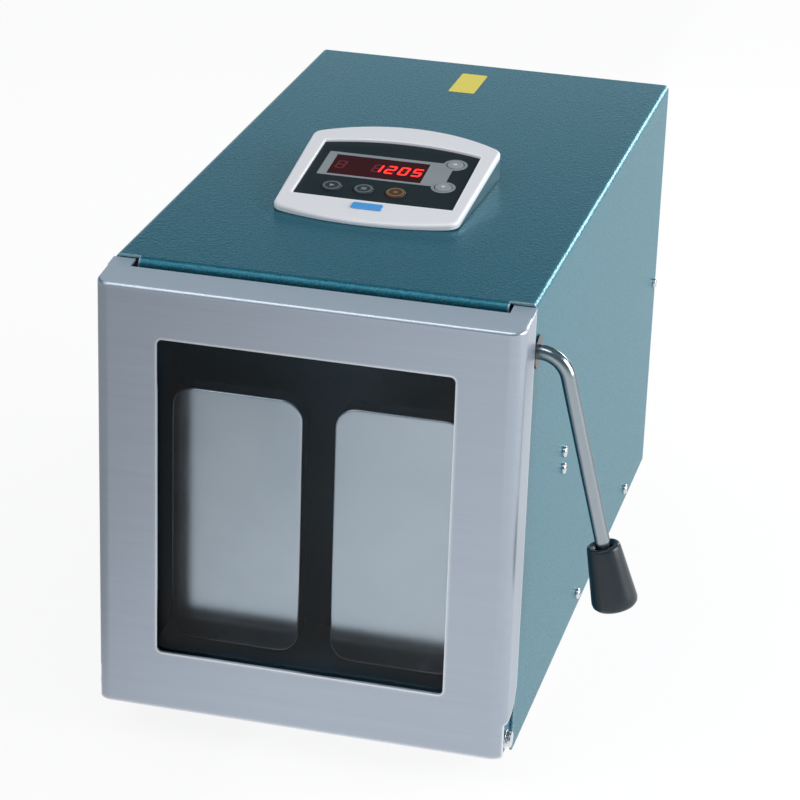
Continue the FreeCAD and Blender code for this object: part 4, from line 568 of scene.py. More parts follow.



# %% [markdown]
# Now the finishes themselves. The case is teal hammered paint with a little metal in it. The door
# is stainless, brushed across. The paddles are a smoother satin that mirrors the room softly, and
# the tub behind them is dark. The rest are small finishes: ground rods, bright screws, rubber,
# moulded plastics and machined alloy.

# %% Metals and paint
# The case's lighter edge colour is partly paint worn thin and partly a painted highlight.
teal_paint = finish(
    "teal_hammered_paint", (0.004, 0.080, 0.122), (0.022, 0.178, 0.250), (0.26, 0.38),
    HAMMERED, "Fleck", "Height", 0.00030, wear=((0.48, 0.66, 0.70), 0.0020, 1.0),
    Metallic=0.45, Specular_IOR_Level=0.3, Specular_Tint=(0.72, 0.97, 1.0, 1.0))
# The door's near-white edge colour is a painted highlight along its folds and edges.
door_steel = finish(
    "brushed_stainless", (0.355, 0.41, 0.48), (0.47, 0.525, 0.605), (0.30, 0.44),
    BRUSHED, "Streak", "Height", 0.00002, wear=((0.92, 0.93, 0.95), 0.0026, 1.0), Metallic=1.0)
# Painted highlight: the door's faces that look up are given a lighter colour.
painted_top_highlight(door_steel, (0.86, 0.90, 0.96), 0.5)
paddle_steel = smudged(
    "satin_pressed_steel", (0.42, 0.45, 0.50), (0.49, 0.52, 0.565), (0.17, 0.24), Metallic=1.0)
plain_steel = smudged(
    "zinc_sheet", (0.42, 0.44, 0.45), (0.56, 0.57, 0.58), (0.35, 0.5), Metallic=1.0)
# The tub and the window's inner frame are given a near-black colour.
dark_tub = smudged(
    "near_black_tub", (0.022, 0.066, 0.105), (0.034, 0.088, 0.130), (0.4, 0.6),
    Specular_IOR_Level=0.25)
bright_steel = smudged(
    "bright_screw_steel", (0.62, 0.63, 0.64), (0.78, 0.79, 0.8), (0.18, 0.3), Metallic=1.0)
ground_steel = finish(
    "ground_rod_steel", (0.6, 0.61, 0.63), (0.72, 0.73, 0.75), (0.12, 0.22),
    BRUSHED, "Streak", "Height", 0.00001, values={"X": 2500.0, "Y": 20.0}, Metallic=1.0)
lever_steel = finish(
    "polished_lever_steel", (0.29, 0.34, 0.37), (0.39, 0.44, 0.47), (0.16, 0.28),
    BRUSHED, "Streak", "Height", 0.00001, values={"X": 900.0, "Y": 900.0, "Z": 60.0}, Metallic=1.0)
# Painted shade: the lever's colour darkens towards its flanks, where the bar turns from the view.
painted_flank_shade(lever_steel, (0.05, 0.07, 0.08))
cast_alloy = finish(
    "machined_alloy", (0.5, 0.51, 0.52), (0.62, 0.63, 0.64), (0.3, 0.45),
    BRUSHED, "Streak", "Height", 0.00002, values={"X": 400.0, "Y": 2000.0, "Z": 2000.0},
    Metallic=1.0)
dark_steel = smudged(
    "blackened_steel", (0.06, 0.065, 0.07), (0.11, 0.115, 0.12), (0.3, 0.42), Metallic=1.0)
brass = smudged(
    "bearing_brass", (0.5, 0.37, 0.14), (0.62, 0.48, 0.2), (0.25, 0.4), Metallic=1.0)
motor_paint = finish(
    "motor_black_paint", (0.015, 0.016, 0.018), (0.03, 0.032, 0.035), (0.4, 0.55),
    HAMMERED, "Fleck", "Height", 0.0001)

# %% [markdown]
# Plastics and rubber differ mostly in how dull they are. The console's moulding is white only on
# its thin rim: what lies deeper than that has the case's paint, so the rim reads as a pale frame.

# %% Rubber and plastics
CONSOLE_TILT = math.radians(7.5)
RIM_THICK = 3.0 * MM
rubber = smudged("black_rubber", (0.012, 0.012, 0.013), (0.025, 0.025, 0.027), (0.6, 0.8))
knob_plastic = smudged("knob_phenolic", (0.006, 0.013, 0.019), (0.012, 0.022, 0.031), (0.28, 0.42))
# The console's near-white edge colour is a painted highlight along its outer edges.
console_white = smudged(
    "console_white_abs", (0.725, 0.735, 0.75), (0.74, 0.75, 0.765), (0.27, 0.30),
    wear=((0.97, 0.97, 0.98), 0.0024, 1.0))
rim_corner = Vector((0, high("console_bezel").y, high("console_bezel").z))
painted_below(console_white, rim_corner, CONSOLE_TILT, RIM_THICK, (0.004, 0.045, 0.070), 0.3)
panel_film = smudged(
    "panel_dark_film", (0.010, 0.018, 0.021), (0.015, 0.025, 0.028), (0.34, 0.46),
    Specular_IOR_Level=0.12)
key_film = smudged(
    "key_dark_film", (0.016, 0.027, 0.033), (0.024, 0.038, 0.045), (0.35, 0.5),
    Specular_IOR_Level=0.3)
stop_film = smudged("key_red_film", (0.065, 0.013, 0.009), (0.10, 0.018, 0.013), (0.35, 0.5))
ring_grey = smudged("ring_grey_print", (0.11, 0.125, 0.13), (0.15, 0.165, 0.17), (0.4, 0.5))
key_grey = smudged("key_grey_film", (0.24, 0.265, 0.27), (0.29, 0.315, 0.32), (0.35, 0.5))
grey_film = smudged("field_grey_film", (0.20, 0.23, 0.24), (0.26, 0.29, 0.30), (0.35, 0.5))
supply_plastic = smudged("supply_black_nylon", (0.012, 0.012, 0.013), (0.02, 0.02, 0.022), (0.35, 0.5))
board_green = smudged("circuit_board_green", (0.01, 0.09, 0.045), (0.015, 0.13, 0.06), (0.3, 0.4))
component_dark = smudged("component_case_dark", (0.02, 0.02, 0.022), (0.05, 0.05, 0.055), (0.35, 0.5))

# %% [markdown]
# The window is a clear pane five millimetres thick, so it is real transmission with a faint blue
# grey tint. Its index is lower than real glass has, which keeps the reflections on it weak. The
# display's lens is a deep red filter. It is opaque, and hides the board behind it.

# %% Glass
window_glass = smudged(
    "window_glass", (0.86, 0.91, 0.93), (0.90, 0.94, 0.95), (0.0, 0.0),
    Transmission_Weight=1.0, IOR=1.2)
display_lens = smudged(
    "display_red_lens", (0.030, 0.001, 0.002), (0.045, 0.002, 0.003), (0.12, 0.2),
    Specular_IOR_Level=0.15)

# %% Which finish each node has
FINISHES = [
    (teal_paint, ["housing_cover", "hinge_ears"]),
    (door_steel, ["door_frame"]),
    (paddle_steel, ["left_paddle", "right_paddle"]),
    (dark_tub, ["chamber_liner", "front_frame"]),
    (plain_steel, ["window_retainer", "door_hinge_lugs", "latch_strikers", "latch_hooks",
                   "shaft_brackets", "base_tray", "rear_panel"]),
    (bright_steel, ["case_screws", "hinge_screws", "retainer_nuts"]),
    (ground_steel, ["left_guide_rods", "right_guide_rods", "crankshaft", "motor_rotor",
                    "eccentric_bearings", "crank_bearings", "linear_bushings"]),
    (lever_steel, ["lever_rod"]),
    (cast_alloy, ["left_yoke", "right_yoke", "front_guide_plate", "rear_guide_plate",
                  "drive_side_plates", "crank_pulley", "motor_pulley"]),
    (brass, ["hinge_bushes"]),
    (dark_steel, ["lever_bush"]),
    (motor_paint, ["motor_body", "motor_bracket"]),
    (rubber, ["window_gasket", "door_seal", "rod_seals", "rubber_feet", "drive_belt"]),
    (knob_plastic, ["lever_knob"]),
    (console_white, ["console_bezel"]),
    (panel_film, ["console_panel"]),
    (key_film, ["start_key", "program_key"]),
    (key_grey, ["up_key", "down_key"]),
    (stop_film, ["stop_key"]),
    (supply_plastic, ["power_inlet", "fuse_holder", "switch_frame", "rocker_switch"]),
    (board_green, ["drive_board", "control_board"]),
    (component_dark, ["board_components", "display_module"]),
    (window_glass, ["door_window"]),
    (display_lens, ["display_window"]),
]

for material, names in FINISHES:
    for name in names:
        mesh = frame["nodes"][name].data
        mesh.materials.clear()
        mesh.materials.append(material)
finished = {name for _, names in FINISHES for name in names}
print("nodes without a finish:", [name for name in frame["nodes"] if name not in finished])

# %% [markdown]
# Sheet steel shows itself at its edges: a cut or folded edge is never quite sharp, and a fine line
# of light runs along it. The frame's nodes have the right folds and holes, so a copy of each one in
# view is merged, its flat triangles are dissolved into whole faces, and its edges get a bevel of a
# few tenths of a millimetre. The door's bevel is clamped, because its notched corners are too tight
# for a free one. Weighted normals then keep the flats flat, and the copy stands for the node.
# Modelling each sheet again would only risk a hole in the wrong place.


# %% Dressed copies
MERGE_WITHIN = 0.001 * MM
FLAT_WITHIN = math.radians(0.4)


def apply_all(piece):
    only(piece)
    for modifier in list(piece.modifiers):
        bpy.ops.object.modifier_apply(modifier=modifier.name)


def softened(piece, edge, segments=2, fold=32, clamp=False):
    """Bevel the edges that turn more than the fold angle, then shade by that angle."""
    bevel = piece.modifiers.new("soft_edge", "BEVEL")
    bevel.width = edge
    bevel.segments = segments
    bevel.limit_method = "ANGLE"
    bevel.angle_limit = math.radians(fold)
    bevel.use_clamp_overlap = clamp
    apply_all(piece)
    bpy.ops.object.shade_smooth_by_angle(angle=math.radians(fold))
    weighted = piece.modifiers.new("even_normals", "WEIGHTED_NORMAL")
    weighted.keep_sharp = True
    apply_all(piece)
    return piece


def dressed(name, edge, segments, clamp=False):
    """A merged, softened copy of a node, which rides on the node's body and stands for it."""
    original = frame["nodes"][name]
    piece = bpy.data.objects.new(name + "_dressed", original.data.copy())
    bpy.context.collection.objects.link(piece)
    only(piece)
    edit_all()
    bpy.ops.mesh.remove_doubles(threshold=MERGE_WITHIN)
    bpy.ops.mesh.dissolve_limited(angle_limit=FLAT_WITHIN)
    bpy.ops.object.mode_set(mode="OBJECT")
    softened(piece, edge, segments, clamp=clamp)
    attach(piece, body_of(original)[0])
    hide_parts(name)
    return piece


# %% Edges of each piece
FINE_EDGE, SHEET_EDGE, MOULDED_EDGE = 0.15 * MM, 0.3 * MM, 0.5 * MM
TIGHT_CORNERS = "door_frame"
EDGES = [
    (SHEET_EDGE, 2, ["housing_cover", "door_frame", "front_frame", "rear_panel", "base_tray",
                     "chamber_liner"]),
    (FINE_EDGE, 2, ["left_paddle", "right_paddle", "window_retainer", "hinge_ears", "door_hinge_lugs",
                    "latch_hooks", "latch_strikers", "shaft_brackets", "hinge_screws", "lever_bush",
                    "window_gasket", "door_window", "retainer_nuts", "hinge_bushes"]),
    (MOULDED_EDGE, 3, ["console_bezel", "power_inlet", "switch_frame", "rocker_switch", "rubber_feet"]),
    (FINE_EDGE, 2, ["console_panel", "start_key", "program_key", "stop_key", "up_key", "down_key",
                    "fuse_holder", "display_window", "door_seal"]),
]

for edge, segments, names in EDGES:
    for name in names:
        dressed(name, edge, segments, clamp=name == TIGHT_CORNERS)
    print("%d pieces with edges of %.2f mm" % (len(names), edge / MM))

# %% [markdown]
# The latch lever is one round bar. It crosses the case, bends down through about seventy-five
# degrees, and its arm leans out to clear the side. By hand that is a circle, extruded along the
# cross-shaft, spun about the bend's centre, and extruded again down the arm. A curve with a round
# bevel would do too, but would put its ring edges wherever its resolution falls; here they lie only
# in the bend.

# %% Bent lever
ROD_SIDES, BEND_STEPS = 48, 20
LEVER_BEND = 16.0 * MM
LEVER_EDGE = 0.4 * MM
LEVER_SPLAY = math.radians(14.4)
LEVER_OUT = 13.75 * MM
ARM_LENGTH = 124.0 * MM
rod_low, rod_high = low("lever_rod"), high("lever_rod")
rod_radius = (rod_high.y - rod_low.y) / 2
shaft_line = Vector((rod_low.x, (rod_low.y + rod_high.y) / 2, rod_high.z - rod_radius))
elbow = Vector((high("housing_cover").x + LEVER_OUT, shaft_line.y, shaft_line.z))
turning = math.pi / 2 - LEVER_SPLAY
run = LEVER_BEND * math.tan(turning / 2)
arm_way = Vector((math.sin(LEVER_SPLAY), 0, -math.cos(LEVER_SPLAY)))

bpy.ops.object.select_all(action="DESELECT")
bpy.ops.mesh.primitive_circle_add(vertices=ROD_SIDES, radius=rod_radius, fill_type="NGON",
                                  location=shaft_line, rotation=(0, math.pi / 2, 0))
lever = bpy.context.object
lever.name = "bent_lever"
settle()
edit_all()
across = (elbow.x - run - shaft_line.x, 0, 0)
bpy.ops.mesh.extrude_region_move(TRANSFORM_OT_translate={"value": across})
bpy.ops.mesh.spin(steps=BEND_STEPS, angle=-turning, axis=(0, 1, 0),
                  center=(elbow.x - run, elbow.y, elbow.z - LEVER_BEND))
bpy.ops.mesh.extrude_region_move(TRANSFORM_OT_translate={"value": arm_way * (ARM_LENGTH - run)})
face_outwards()
lever.data.materials.append(lever_steel)
softened(lever, LEVER_EDGE, segments=3, fold=50)
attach(lever, "lever")
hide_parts("lever_rod")
print("lever:", len(lever.data.polygons), "faces, elbow at", [round(v, 4) for v in elbow])

# %% [markdown]
# The knob is a moulded cone, slimmer at the neck, with a crisp lip, a shallow step where the rod
# goes in, and a softly domed end. It is turned work, so it grows ring by ring from a circle: each
# ring is an extrusion down the arm and a resize. The profile below is read down the knob as
# distance from its neck and radius, both in millimetres.

# %% Turned knob
KNOB_START = 106.0 * MM
KNOB_RINGS = [(1.6, 4.6), (0.7, 5.6), (0.0, 7.2), (0.25, 8.2), (0.9, 8.75), (2.2, 9.0), (8.0, 9.65),
              (16.0, 10.5), (24.0, 11.4), (29.0, 11.95), (31.5, 12.18), (33.4, 11.8), (34.8, 10.6),
              (35.6, 8.4), (35.95, 5.0), (36.0, 1.6)]
ROUND_SIDES = 64

down, radius = KNOB_RINGS[0]
bpy.ops.object.select_all(action="DESELECT")
bpy.ops.mesh.primitive_circle_add(vertices=ROUND_SIDES, radius=radius * MM, location=(0, 0, -down * MM))
knob = bpy.context.object
knob.name = "turned_knob"
settle()
edit_all()
for next_down, next_radius in KNOB_RINGS[1:]:
    bpy.ops.mesh.extrude_region_move(TRANSFORM_OT_translate={"value": (0, 0, (down - next_down) * MM)})
    factor = next_radius / radius
    bpy.ops.transform.resize(value=(factor, factor, 1), center_override=(0, 0, -next_down * MM))
    down, radius = next_down, next_radius
bpy.ops.mesh.fill()
face_outwards()
knob.rotation_euler = (0, -LEVER_SPLAY, 0)
knob.location = elbow + arm_way * KNOB_START
settle()
bpy.ops.object.shade_smooth_by_angle(angle=math.radians(50))
knob.data.materials.append(knob_plastic)
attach(knob, "lever")
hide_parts("lever_knob")
print("knob:", len(knob.data.polygons), "faces")

# %% [markdown]
# The case is held by small pan-head screws with a cross recess. The frame has them as plain
# cylinders, so their places are read from its loose parts: the long side of each part's box is the
# screw's axis, and the way out of the machine tells which end is the head. One screw is modelled,
# a cylinder with its rim rounded to a dome and a cross cut into it by a boolean, and each place
# gets a copy of its mesh.


# %% Places of the case screws
def loose_boxes(name):
    """The lowest and highest corner of each loose part of a node."""
    piece = bpy.data.objects.new("sorting", frame["nodes"][name].data.copy())
    bpy.context.collection.objects.link(piece)
    only(piece)
    edit_all()
    bpy.ops.mesh.remove_doubles(threshold=MERGE_WITHIN)
    bpy.ops.mesh.separate(type="LOOSE")
    bpy.ops.object.mode_set(mode="OBJECT")
    boxes = []
    for part in list(bpy.context.selected_objects):
        spots = [v.co for v in part.data.vertices]
        boxes.append((Vector([min(s[i] for s in spots) for i in range(3)]),
                      Vector([max(s[i] for s in spots) for i in range(3)])))
        bpy.data.objects.remove(part)
    return boxes


def way_out(corner, far_corner):
    """The direction a screw's head faces, from its box."""
    size = far_corner - corner
    middle = (corner + far_corner) / 2
    if size.x > max(size.y, size.z):
        return Vector((math.copysign(1, middle.x - case_middle), 0, 0))
    return Vector((0, 1, 0)) if size.y > size.z else Vector((0, 0, -1))


case_middle = (low("housing_cover").x + high("housing_cover").x) / 2
screw_boxes = loose_boxes("case_screws")
print("screws:", len(screw_boxes))

# %% One screw, and its copies
HEAD_RADIUS, HEAD_HIGH = 3.2 * MM, 2.0 * MM
SHANK_RADIUS, SHANK_LONG = 1.7 * MM, 6.0 * MM
DOME_ROUND, DOME_PROFILE = 1.3 * MM, 0.55
RECESS_WIDE, RECESS_DEEP, RECESS_SPAN = 0.75 * MM, 0.8 * MM, 1.25 * HEAD_RADIUS
SCREW_EDGE = 0.08 * MM


def combine(piece, tool, operation):
    """Join another piece to this one, or cut it out, by an exact boolean."""
    change = piece.modifiers.new("combine", "BOOLEAN")
    change.operation = operation
    change.solver = "EXACT"
    change.object = tool
    apply_all(piece)
    bpy.data.objects.remove(tool)


def pick_end(piece, way):
    """In edit mode, select just the faces that look up (1) or down (-1)."""
    bpy.ops.object.mode_set(mode="EDIT")
    bpy.ops.mesh.select_all(action="DESELECT")
    bpy.ops.object.mode_set(mode="OBJECT")
    for face in piece.data.polygons:
        face.select = face.normal.z * way > 0.9
    bpy.ops.object.mode_set(mode="EDIT")


def pan_head():
    """A domed head that sits on z = 0, with its shank below and a cross recess on top."""
    bpy.ops.object.select_all(action="DESELECT")
    bpy.ops.mesh.primitive_cylinder_add(vertices=32, radius=HEAD_RADIUS, depth=HEAD_HIGH,
                                        location=(0, 0, HEAD_HIGH / 2))
    head = bpy.context.object
    settle()
    pick_end(head, 1)
    bpy.ops.mesh.bevel(offset=DOME_ROUND, segments=4, profile=DOME_PROFILE)
    pick_end(head, -1)
    bpy.ops.mesh.inset(thickness=HEAD_RADIUS - SHANK_RADIUS)
    bpy.ops.mesh.extrude_region_move(TRANSFORM_OT_translate={"value": (0, 0, -SHANK_LONG)})
    bpy.ops.object.mode_set(mode="OBJECT")
    for turned in (0, math.pi / 2):
        bpy.ops.object.select_all(action="DESELECT")
        bpy.ops.mesh.primitive_cube_add(size=1, location=(0, 0, HEAD_HIGH), rotation=(0, 0, turned))
        arm = bpy.context.object
        arm.scale = (RECESS_SPAN, RECESS_WIDE, 2 * RECESS_DEEP)
        settle()
        combine(head, arm, "DIFFERENCE")
    return softened(head, SCREW_EDGE, segments=1, fold=40)


model = pan_head()
copies = []
for corner, far_corner in screw_boxes:
    out = way_out(corner, far_corner)
    middle = (corner + far_corner) / 2
    reach = (far_corner - corner) / 2
    seat = middle + out * (abs(reach.dot(out)) - HEAD_HIGH)
    mesh = model.data.copy()
    mesh.transform(Matrix.Translation(seat) @ out.to_track_quat("Z", "Y").to_matrix().to_4x4())
    screw = bpy.data.objects.new("pan_head_screw", mesh)
    bpy.context.collection.objects.link(screw)
    copies.append(screw)
bpy.data.objects.remove(model)
screws = joined(copies, "case_pan_heads")
screws.data.materials.clear()
screws.data.materials.append(bright_steel)
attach(screws, "case")
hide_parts("case_screws")
print("case screws:", len(screws.data.polygons), "faces")

# %% [markdown]
# Everything on the console lies in one plane, tilted back to front. A matrix for that plane turns
# flat layout work into placed pieces: u runs across from the panel's middle, v runs back from its
# front edge, and the third number lifts off the film. The matrix comes from the panel's own box.

# %% The console's plane
FILM_THICK = 1.5 * MM
ROUND_THE_PLANE = [0, 1, 3, 2]
panel_low, panel_high = low("console_panel"), high("console_panel")
film_lean = FILM_THICK * math.sin(CONSOLE_TILT)
panel_long = (panel_high.y - panel_low.y - film_lean) / math.cos(CONSOLE_TILT)
film_front = Vector(((panel_low.x + panel_high.x) / 2, panel_low.y,
                     panel_high.z - panel_long * math.sin(CONSOLE_TILT)))
film = Matrix.Translation(film_front) @ Matrix.Rotation(CONSOLE_TILT, 4, "X")
print("film plane: %.1f mm long" % (panel_long / MM), "from", [round(v, 4) for v in film_front])


def on_film(name):
    """Where a node's box centre lies on the film, as u and v."""
    spot = film.inverted() @ ((low(name) + high(name)) / 2)
    return spot.x, spot.y


def lay(piece, plane=film):
    """Place a flat piece that was made about the origin on the film's plane."""
    only(piece)
    piece.matrix_world = plane @ piece.matrix_world
    settle()
    return piece


def flat_plate(name, corners, thick, round_by, segments=6):
    """A thin plate with rounded corners: its four points are bevelled, then it gets its thickness."""
    bpy.ops.object.select_all(action="DESELECT")
    bpy.ops.mesh.primitive_plane_add(size=1)
    piece = bpy.context.object
    piece.name = name
    for index, (u, v) in zip(ROUND_THE_PLANE, corners):
        piece.data.vertices[index].co = (u, v, 0)
    edit_all()
    bpy.ops.mesh.bevel(offset=round_by, offset_type="OFFSET", segments=segments, affect="VERTICES")
    bpy.ops.mesh.select_all(action="SELECT")
    bpy.ops.mesh.extrude_region_move(TRANSFORM_OT_translate={"value": (0, 0, thick)})
    face_outwards()
    return piece


# %% [markdown]
# Round the display the film is printed grey, and the field ends at the right in two round lobes
# that carry the arrow keys. It is laid out flat: a plate, two discs joined to it by a boolean, a
# round notch between the lobes, and holes for the lens and the keys.

# %% Printed field
PRINT_THICK = 0.10 * MM
CUT_DEEP = 4 * PRINT_THICK
FIELD_SIDE, FIELD_FRONT, FIELD_BACK = 5.0 * MM, 2.0 * MM, 3.0 * MM
FIELD_ROUND, LENS_ROUND = 1.0 * MM, 0.3 * MM
LOBE_RADIUS = 6.8 * MM
NOTCH_AWAY, NOTCH_RADIUS = 11.0 * MM, 9.0 * MM
KEY_EDGE, KEY_CLEAR = 1.0 * MM, 0.45 * MM
lens_low, lens_high = low("display_window"), high("display_window")
lens_left, lens_right = lens_low.x - film_front.x, lens_high.x - film_front.x
_, lens_v = on_film("display_window")
lens_half = (lens_high.y - lens_low.y) / 2 / math.cos(CONSOLE_TILT)
lens_front, lens_back = lens_v - lens_half, lens_v + lens_half
up_spot, down_spot = on_film("up_key"), on_film("down_key")


def disc(u, v, radius, thick, lift=0.0):
    bpy.ops.object.select_all(action="DESELECT")
    bpy.ops.mesh.primitive_cylinder_add(vertices=ROUND_SIDES, radius=radius, depth=thick,
                                        location=(u, v, lift + thick / 2))
    settle()
    return bpy.context.object


field = flat_plate("display_field", [
    (lens_left - FIELD_SIDE, lens_front - FIELD_FRONT), (down_spot[0], lens_front - FIELD_FRONT),
    (up_spot[0], lens_back + FIELD_BACK), (lens_left - FIELD_SIDE, lens_back + FIELD_BACK),
], PRINT_THICK, FIELD_ROUND)
for u, v in (up_spot, down_spot):
    combine(field, disc(u, v, LOBE_RADIUS, PRINT_THICK), "UNION")
notch_u, notch_v = down_spot[0] + NOTCH_AWAY, (up_spot[1] + down_spot[1]) / 2
combine(field, disc(notch_u, notch_v, NOTCH_RADIUS, CUT_DEEP, -PRINT_THICK), "DIFFERENCE")
lens_hole = flat_plate("lens_hole", [
    (lens_left, lens_front), (lens_right, lens_front), (lens_right, lens_back), (lens_left, lens_back),
], CUT_DEEP, LENS_ROUND)
lens_hole.location.z = -PRINT_THICK
only(lens_hole)
settle()
combine(field, lens_hole, "DIFFERENCE")
for name, (u, v) in (("up_key", up_spot), ("down_key", down_spot)):
    key_radius = (high(name).x - low(name).x) / 2 - KEY_EDGE
    combine(field, disc(u, v, key_radius + KEY_CLEAR, CUT_DEEP, -PRINT_THICK), "DIFFERENCE")
lay(field)
field.data.materials.append(grey_film)
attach(field, "case")
print("field:", len(field.data.polygons), "faces, lens half height %.1f mm" % (lens_half / MM))

# %% [markdown]
# The three round keys have a printed ring, grey on the first two and yellow on the one that stops
# the machine, and every key has a plain mark: a triangle to start, bars for the programme, a square
# to stop, and arrows. A ring is a thin disc with a smaller one cut out of it. A mark is laid out in
# millimetres about the middle of its key.

# %% Rings and marks of the keys
RING_OUT, RING_IN = 4.9 * MM, 3.9 * MM
KEY_PROUD = 0.6 * MM
MARK_ROUND = 0.12 * MM
BAR_LONG, BAR_THIN = 1.5, 0.28
yellow_print = smudged("ring_yellow_print", (0.14, 0.12, 0.02), (0.20, 0.17, 0.03), (0.4, 0.5))
dim_print = smudged("mark_dim_print", (0.22, 0.24, 0.25), (0.28, 0.30, 0.31), (0.4, 0.5))
pale_print = smudged("mark_pale_print", (0.55, 0.57, 0.58), (0.66, 0.68, 0.69), (0.4, 0.5))


def cap_plane(name):
    """The film's plane moved to the middle of a key's cap, at the cap's top."""
    u, v = on_film(name)
    return Matrix(film) @ Matrix.Translation((u, v, KEY_PROUD))


def ring_print(name, material):
    piece = disc(0, 0, RING_OUT, PRINT_THICK / 2)
    combine(piece, disc(0, 0, RING_IN, 2 * PRINT_THICK, -PRINT_THICK / 2), "DIFFERENCE")
    piece.name = name + "_ring"
    lay(piece, cap_plane(name))
    piece.data.materials.append(material)
    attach(piece, name + "_cap")


def marked(name, shapes, material):
    """A printed mark made of thin plates, on the top of a key."""
    plates = []
    for corners in shapes:
        spots = [(u * MM, v * MM) for u, v in corners]
        plates.append(flat_plate(name + "_mark", spots, PRINT_THICK / 2, MARK_ROUND, 2))
    piece = lay(joined(plates, name + "_mark"), cap_plane(name))
    piece.data.materials.append(material)
    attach(piece, name + "_cap")


def level_bar(v):
    return [(-BAR_LONG, v - BAR_THIN), (BAR_LONG, v - BAR_THIN),
            (BAR_LONG, v + BAR_THIN), (-BAR_LONG, v + BAR_THIN)]


MARKS = {
    "start_key": (dim_print, [[(-1.1, -1.5), (1.5, -0.15), (1.5, 0.15), (-1.1, 1.5)]]),
    "program_key": (dim_print, [level_bar(v) for v in (-1.1, 0.0, 1.1)]),
    "stop_key": (yellow_print, [[(-1.2, -1.2), (1.2, -1.2), (1.2, 1.2), (-1.2, 1.2)]]),
    "up_key": (pale_print, [[(-1.5, -0.9), (1.5, -0.9), (0.15, 1.3), (-0.15, 1.3)]]),
    "down_key": (pale_print, [[(-0.15, -1.3), (0.15, -1.3), (1.5, 0.9), (-1.5, 0.9)]]),
}

for name, material in (("start_key", ring_grey), ("program_key", ring_grey), ("stop_key", yellow_print)):
    ring_print(name, material)
for name, (material, shapes) in MARKS.items():
    marked(name, shapes, material)
print("keys with a mark:", list(MARKS))

# %% [markdown]
# The read-out is four bright figures on the right of a dark red lens, and one on the left that is
# not lit. Each figure has seven bars. One upright bar and one level bar are modelled, six-sided
# plates, and copied for every place: the lit ones glow, and the others have a faint painted glow
# that keeps them visible.

# %% Figures of the display
FIGURE_HIGH, FIGURE_WIDE, BAR = 9.6 * MM, 5.4 * MM, 1.15 * MM
FIGURE_STEP, SLANT = 7.6 * MM, 0.12
LEVEL_SHORT, UPRIGHT_SHORT = 0.5 * BAR, 0.3 * BAR
FROM_RIGHT, FROM_LEFT = 3.6 * FIGURE_STEP, 0.7 * FIGURE_STEP
LIT = {"0": "abcdef", "1": "bc", "2": "abdeg", "5": "acdfg"}
BARS = {"a": (0, 1, False), "b": (1, 0.5, True), "c": (1, -0.5, True), "d": (0, -1, False),
        "e": (-1, -0.5, True), "f": (-1, 0.5, True), "g": (0, 0, False)}


def glowing(name, colour, strength):
    """A red that gives off light, slightly uneven."""
    material = bpy.data.materials.new(name)
    material.use_nodes = True
    tree = material.node_tree
    shader = tree.nodes["Principled BSDF"]
    place = tree.nodes.new("ShaderNodeTexCoord")
    speck = node(tree, "ShaderNodeTexNoise", scale=2500.0)
    tint = node(tree, "ShaderNodeMix", data_type="RGBA")
    tint.inputs[6].default_value = (*colour, 1)
    tint.inputs[7].default_value = (*[min(1, c * 1.3) for c in colour], 1)
    tree.links.new(place.outputs["Object"], speck.inputs["Vector"])
    tree.links.new(speck.outputs["Fac"], tint.inputs["Factor"])
    tree.links.new(tint.outputs[2], shader.inputs["Base Color"])
    tree.links.new(tint.outputs[2], shader.inputs["Emission Color"])
    shader.inputs["Emission Strength"].default_value = strength
    shader.inputs["Roughness"].default_value = 0.4
    return material


def one_bar(long):
    """A bar with pointed ends: a circle of six sides, its points moved to the bar's size."""
    bpy.ops.object.select_all(action="DESELECT")
    bpy.ops.mesh.primitive_circle_add(vertices=6, radius=1, fill_type="NGON",
                                      rotation=(0, 0, math.pi / 2))
    bar = bpy.context.object
    settle()
    for vertex in bar.data.vertices:
        tip = abs(vertex.co.y) < 0.1
        reach = long / 2 if tip else long / 2 - BAR / 2
        rise = 0 if tip else math.copysign(BAR / 2, vertex.co.y)
        vertex.co = (math.copysign(reach, vertex.co.x), rise, 0)
    edit_all()
    bpy.ops.mesh.extrude_region_move(TRANSFORM_OT_translate={"value": (0, 0, PRINT_THICK)})
    face_outwards()
    return bar


def figures(name, text, start_u, base_v, want_lit):
    """All bars of the text's figures that are lit, or all that aren't, as one piece."""
    bars = {False: one_bar(FIGURE_WIDE - LEVEL_SHORT), True: one_bar(FIGURE_HIGH / 2 - UPRIGHT_SHORT)}
    lean = Matrix(((1, SLANT, 0, 0), (0, 1, 0, 0), (0, 0, 1, 0), (0, 0, 0, 1)))
    made = []
    for place, figure in enumerate(text):
        for letter, (across, up, upright) in BARS.items():
            if (letter in LIT[figure]) != want_lit:
                continue
            mesh = bars[upright].data.copy()
            turn = Matrix.Rotation(math.pi / 2 if upright else 0, 4, "Z")
            middle = Vector((across * (FIGURE_WIDE - BAR) / 2, up * (FIGURE_HIGH - BAR) / 2, 0))
            mesh.transform(lean @ Matrix.Translation(middle) @ turn)
            mesh.transform(Matrix.Translation((start_u + place * FIGURE_STEP, base_v, 0)))
            piece = bpy.data.objects.new(name, mesh)
            bpy.context.collection.objects.link(piece)
            made.append(piece)
    for bar in bars.values():
        bpy.data.objects.remove(bar)
    return made


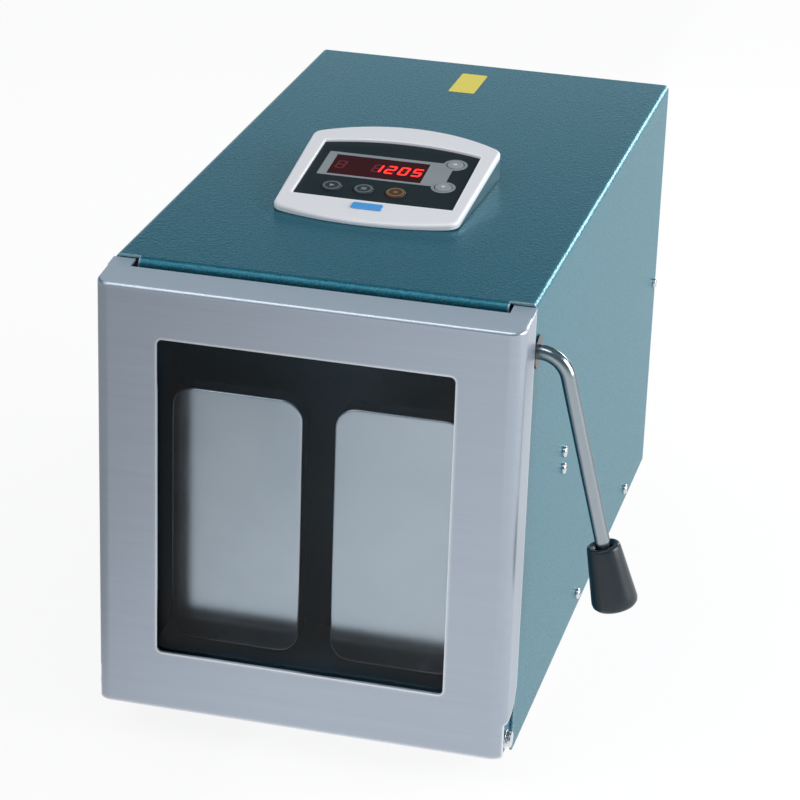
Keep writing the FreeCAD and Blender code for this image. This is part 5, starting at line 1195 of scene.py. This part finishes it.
right_start = lens_right - FROM_RIGHT
left_start = lens_left + FROM_LEFT
# The unlit bars are given a faint painted glow, so that they stay visible.
READOUTS = [("figures_lit", True, glowing("figure_red_glow", (1.0, 0.012, 0.008), 3.0)),
            ("figures_unlit", False, glowing("figure_dim_painted_glow", (0.11, 0.006, 0.005), 0.06))]

for name, want_lit, material in READOUTS:
    bars = figures(name, "1205", right_start, lens_v, want_lit)
    if not want_lit:
        for either in (True, False):
            bars += figures(name, "1", left_start, lens_v, either)
    print(name, len(bars), "bars")
    readout = lay(joined(bars, name))
    readout.data.materials.clear()
    readout.data.materials.append(material)
    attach(readout, "case")

# %% [markdown]
# Two small labels finish the top: a blank blue badge let into the console's front rim, with a
# domed resin face, and a blank yellow sticker at the back of the cover. Both are plates with round
# corners; the badge's edges are bevelled until it looks poured.

# %% Badge and sticker
RIM_LIFT = 1.5 * MM
LABEL_ROUND = 1.2 * MM
BADGE_EDGE = 0.35 * MM
STICKER_LEFT, STICKER_FORWARD = 4 * MM, 40 * MM
blue_resin = smudged("badge_blue_resin", (0.055, 0.30, 0.70), (0.075, 0.36, 0.78), (0.12, 0.2),
                     Coat_Weight=0.6, Coat_Roughness=0.06)
yellow_vinyl = smudged("sticker_yellow_vinyl", (0.72, 0.60, 0.03), (0.80, 0.68, 0.05), (0.35, 0.45))


def label(name, left, right, front, back, thick):
    """A plate with round corners, its edges given in millimetres from where it is placed."""
    corners = [(left, front), (right, front), (right, back), (left, back)]
    return flat_plate(name, [(u * MM, v * MM) for u, v in corners], thick * MM, LABEL_ROUND)


badge = label("blank_badge", left=-9.0, right=8.3, front=-10.8, back=-3.9, thick=0.7)
badge.location.z = RIM_LIFT
lay(badge)
badge.data.materials.append(blue_resin)
softened(badge, BADGE_EDGE, segments=4, fold=40)
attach(badge, "case")

cover_high = high("housing_cover")
sticker = label("blank_sticker", left=-8, right=8, front=-19.5, back=19.5, thick=0.12)
sticker.location = (film_front.x - STICKER_LEFT, cover_high.y - STICKER_FORWARD, cover_high.z)
only(sticker)
settle()
sticker.data.materials.append(yellow_vinyl)
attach(sticker, "case")
print("badge and sticker placed")
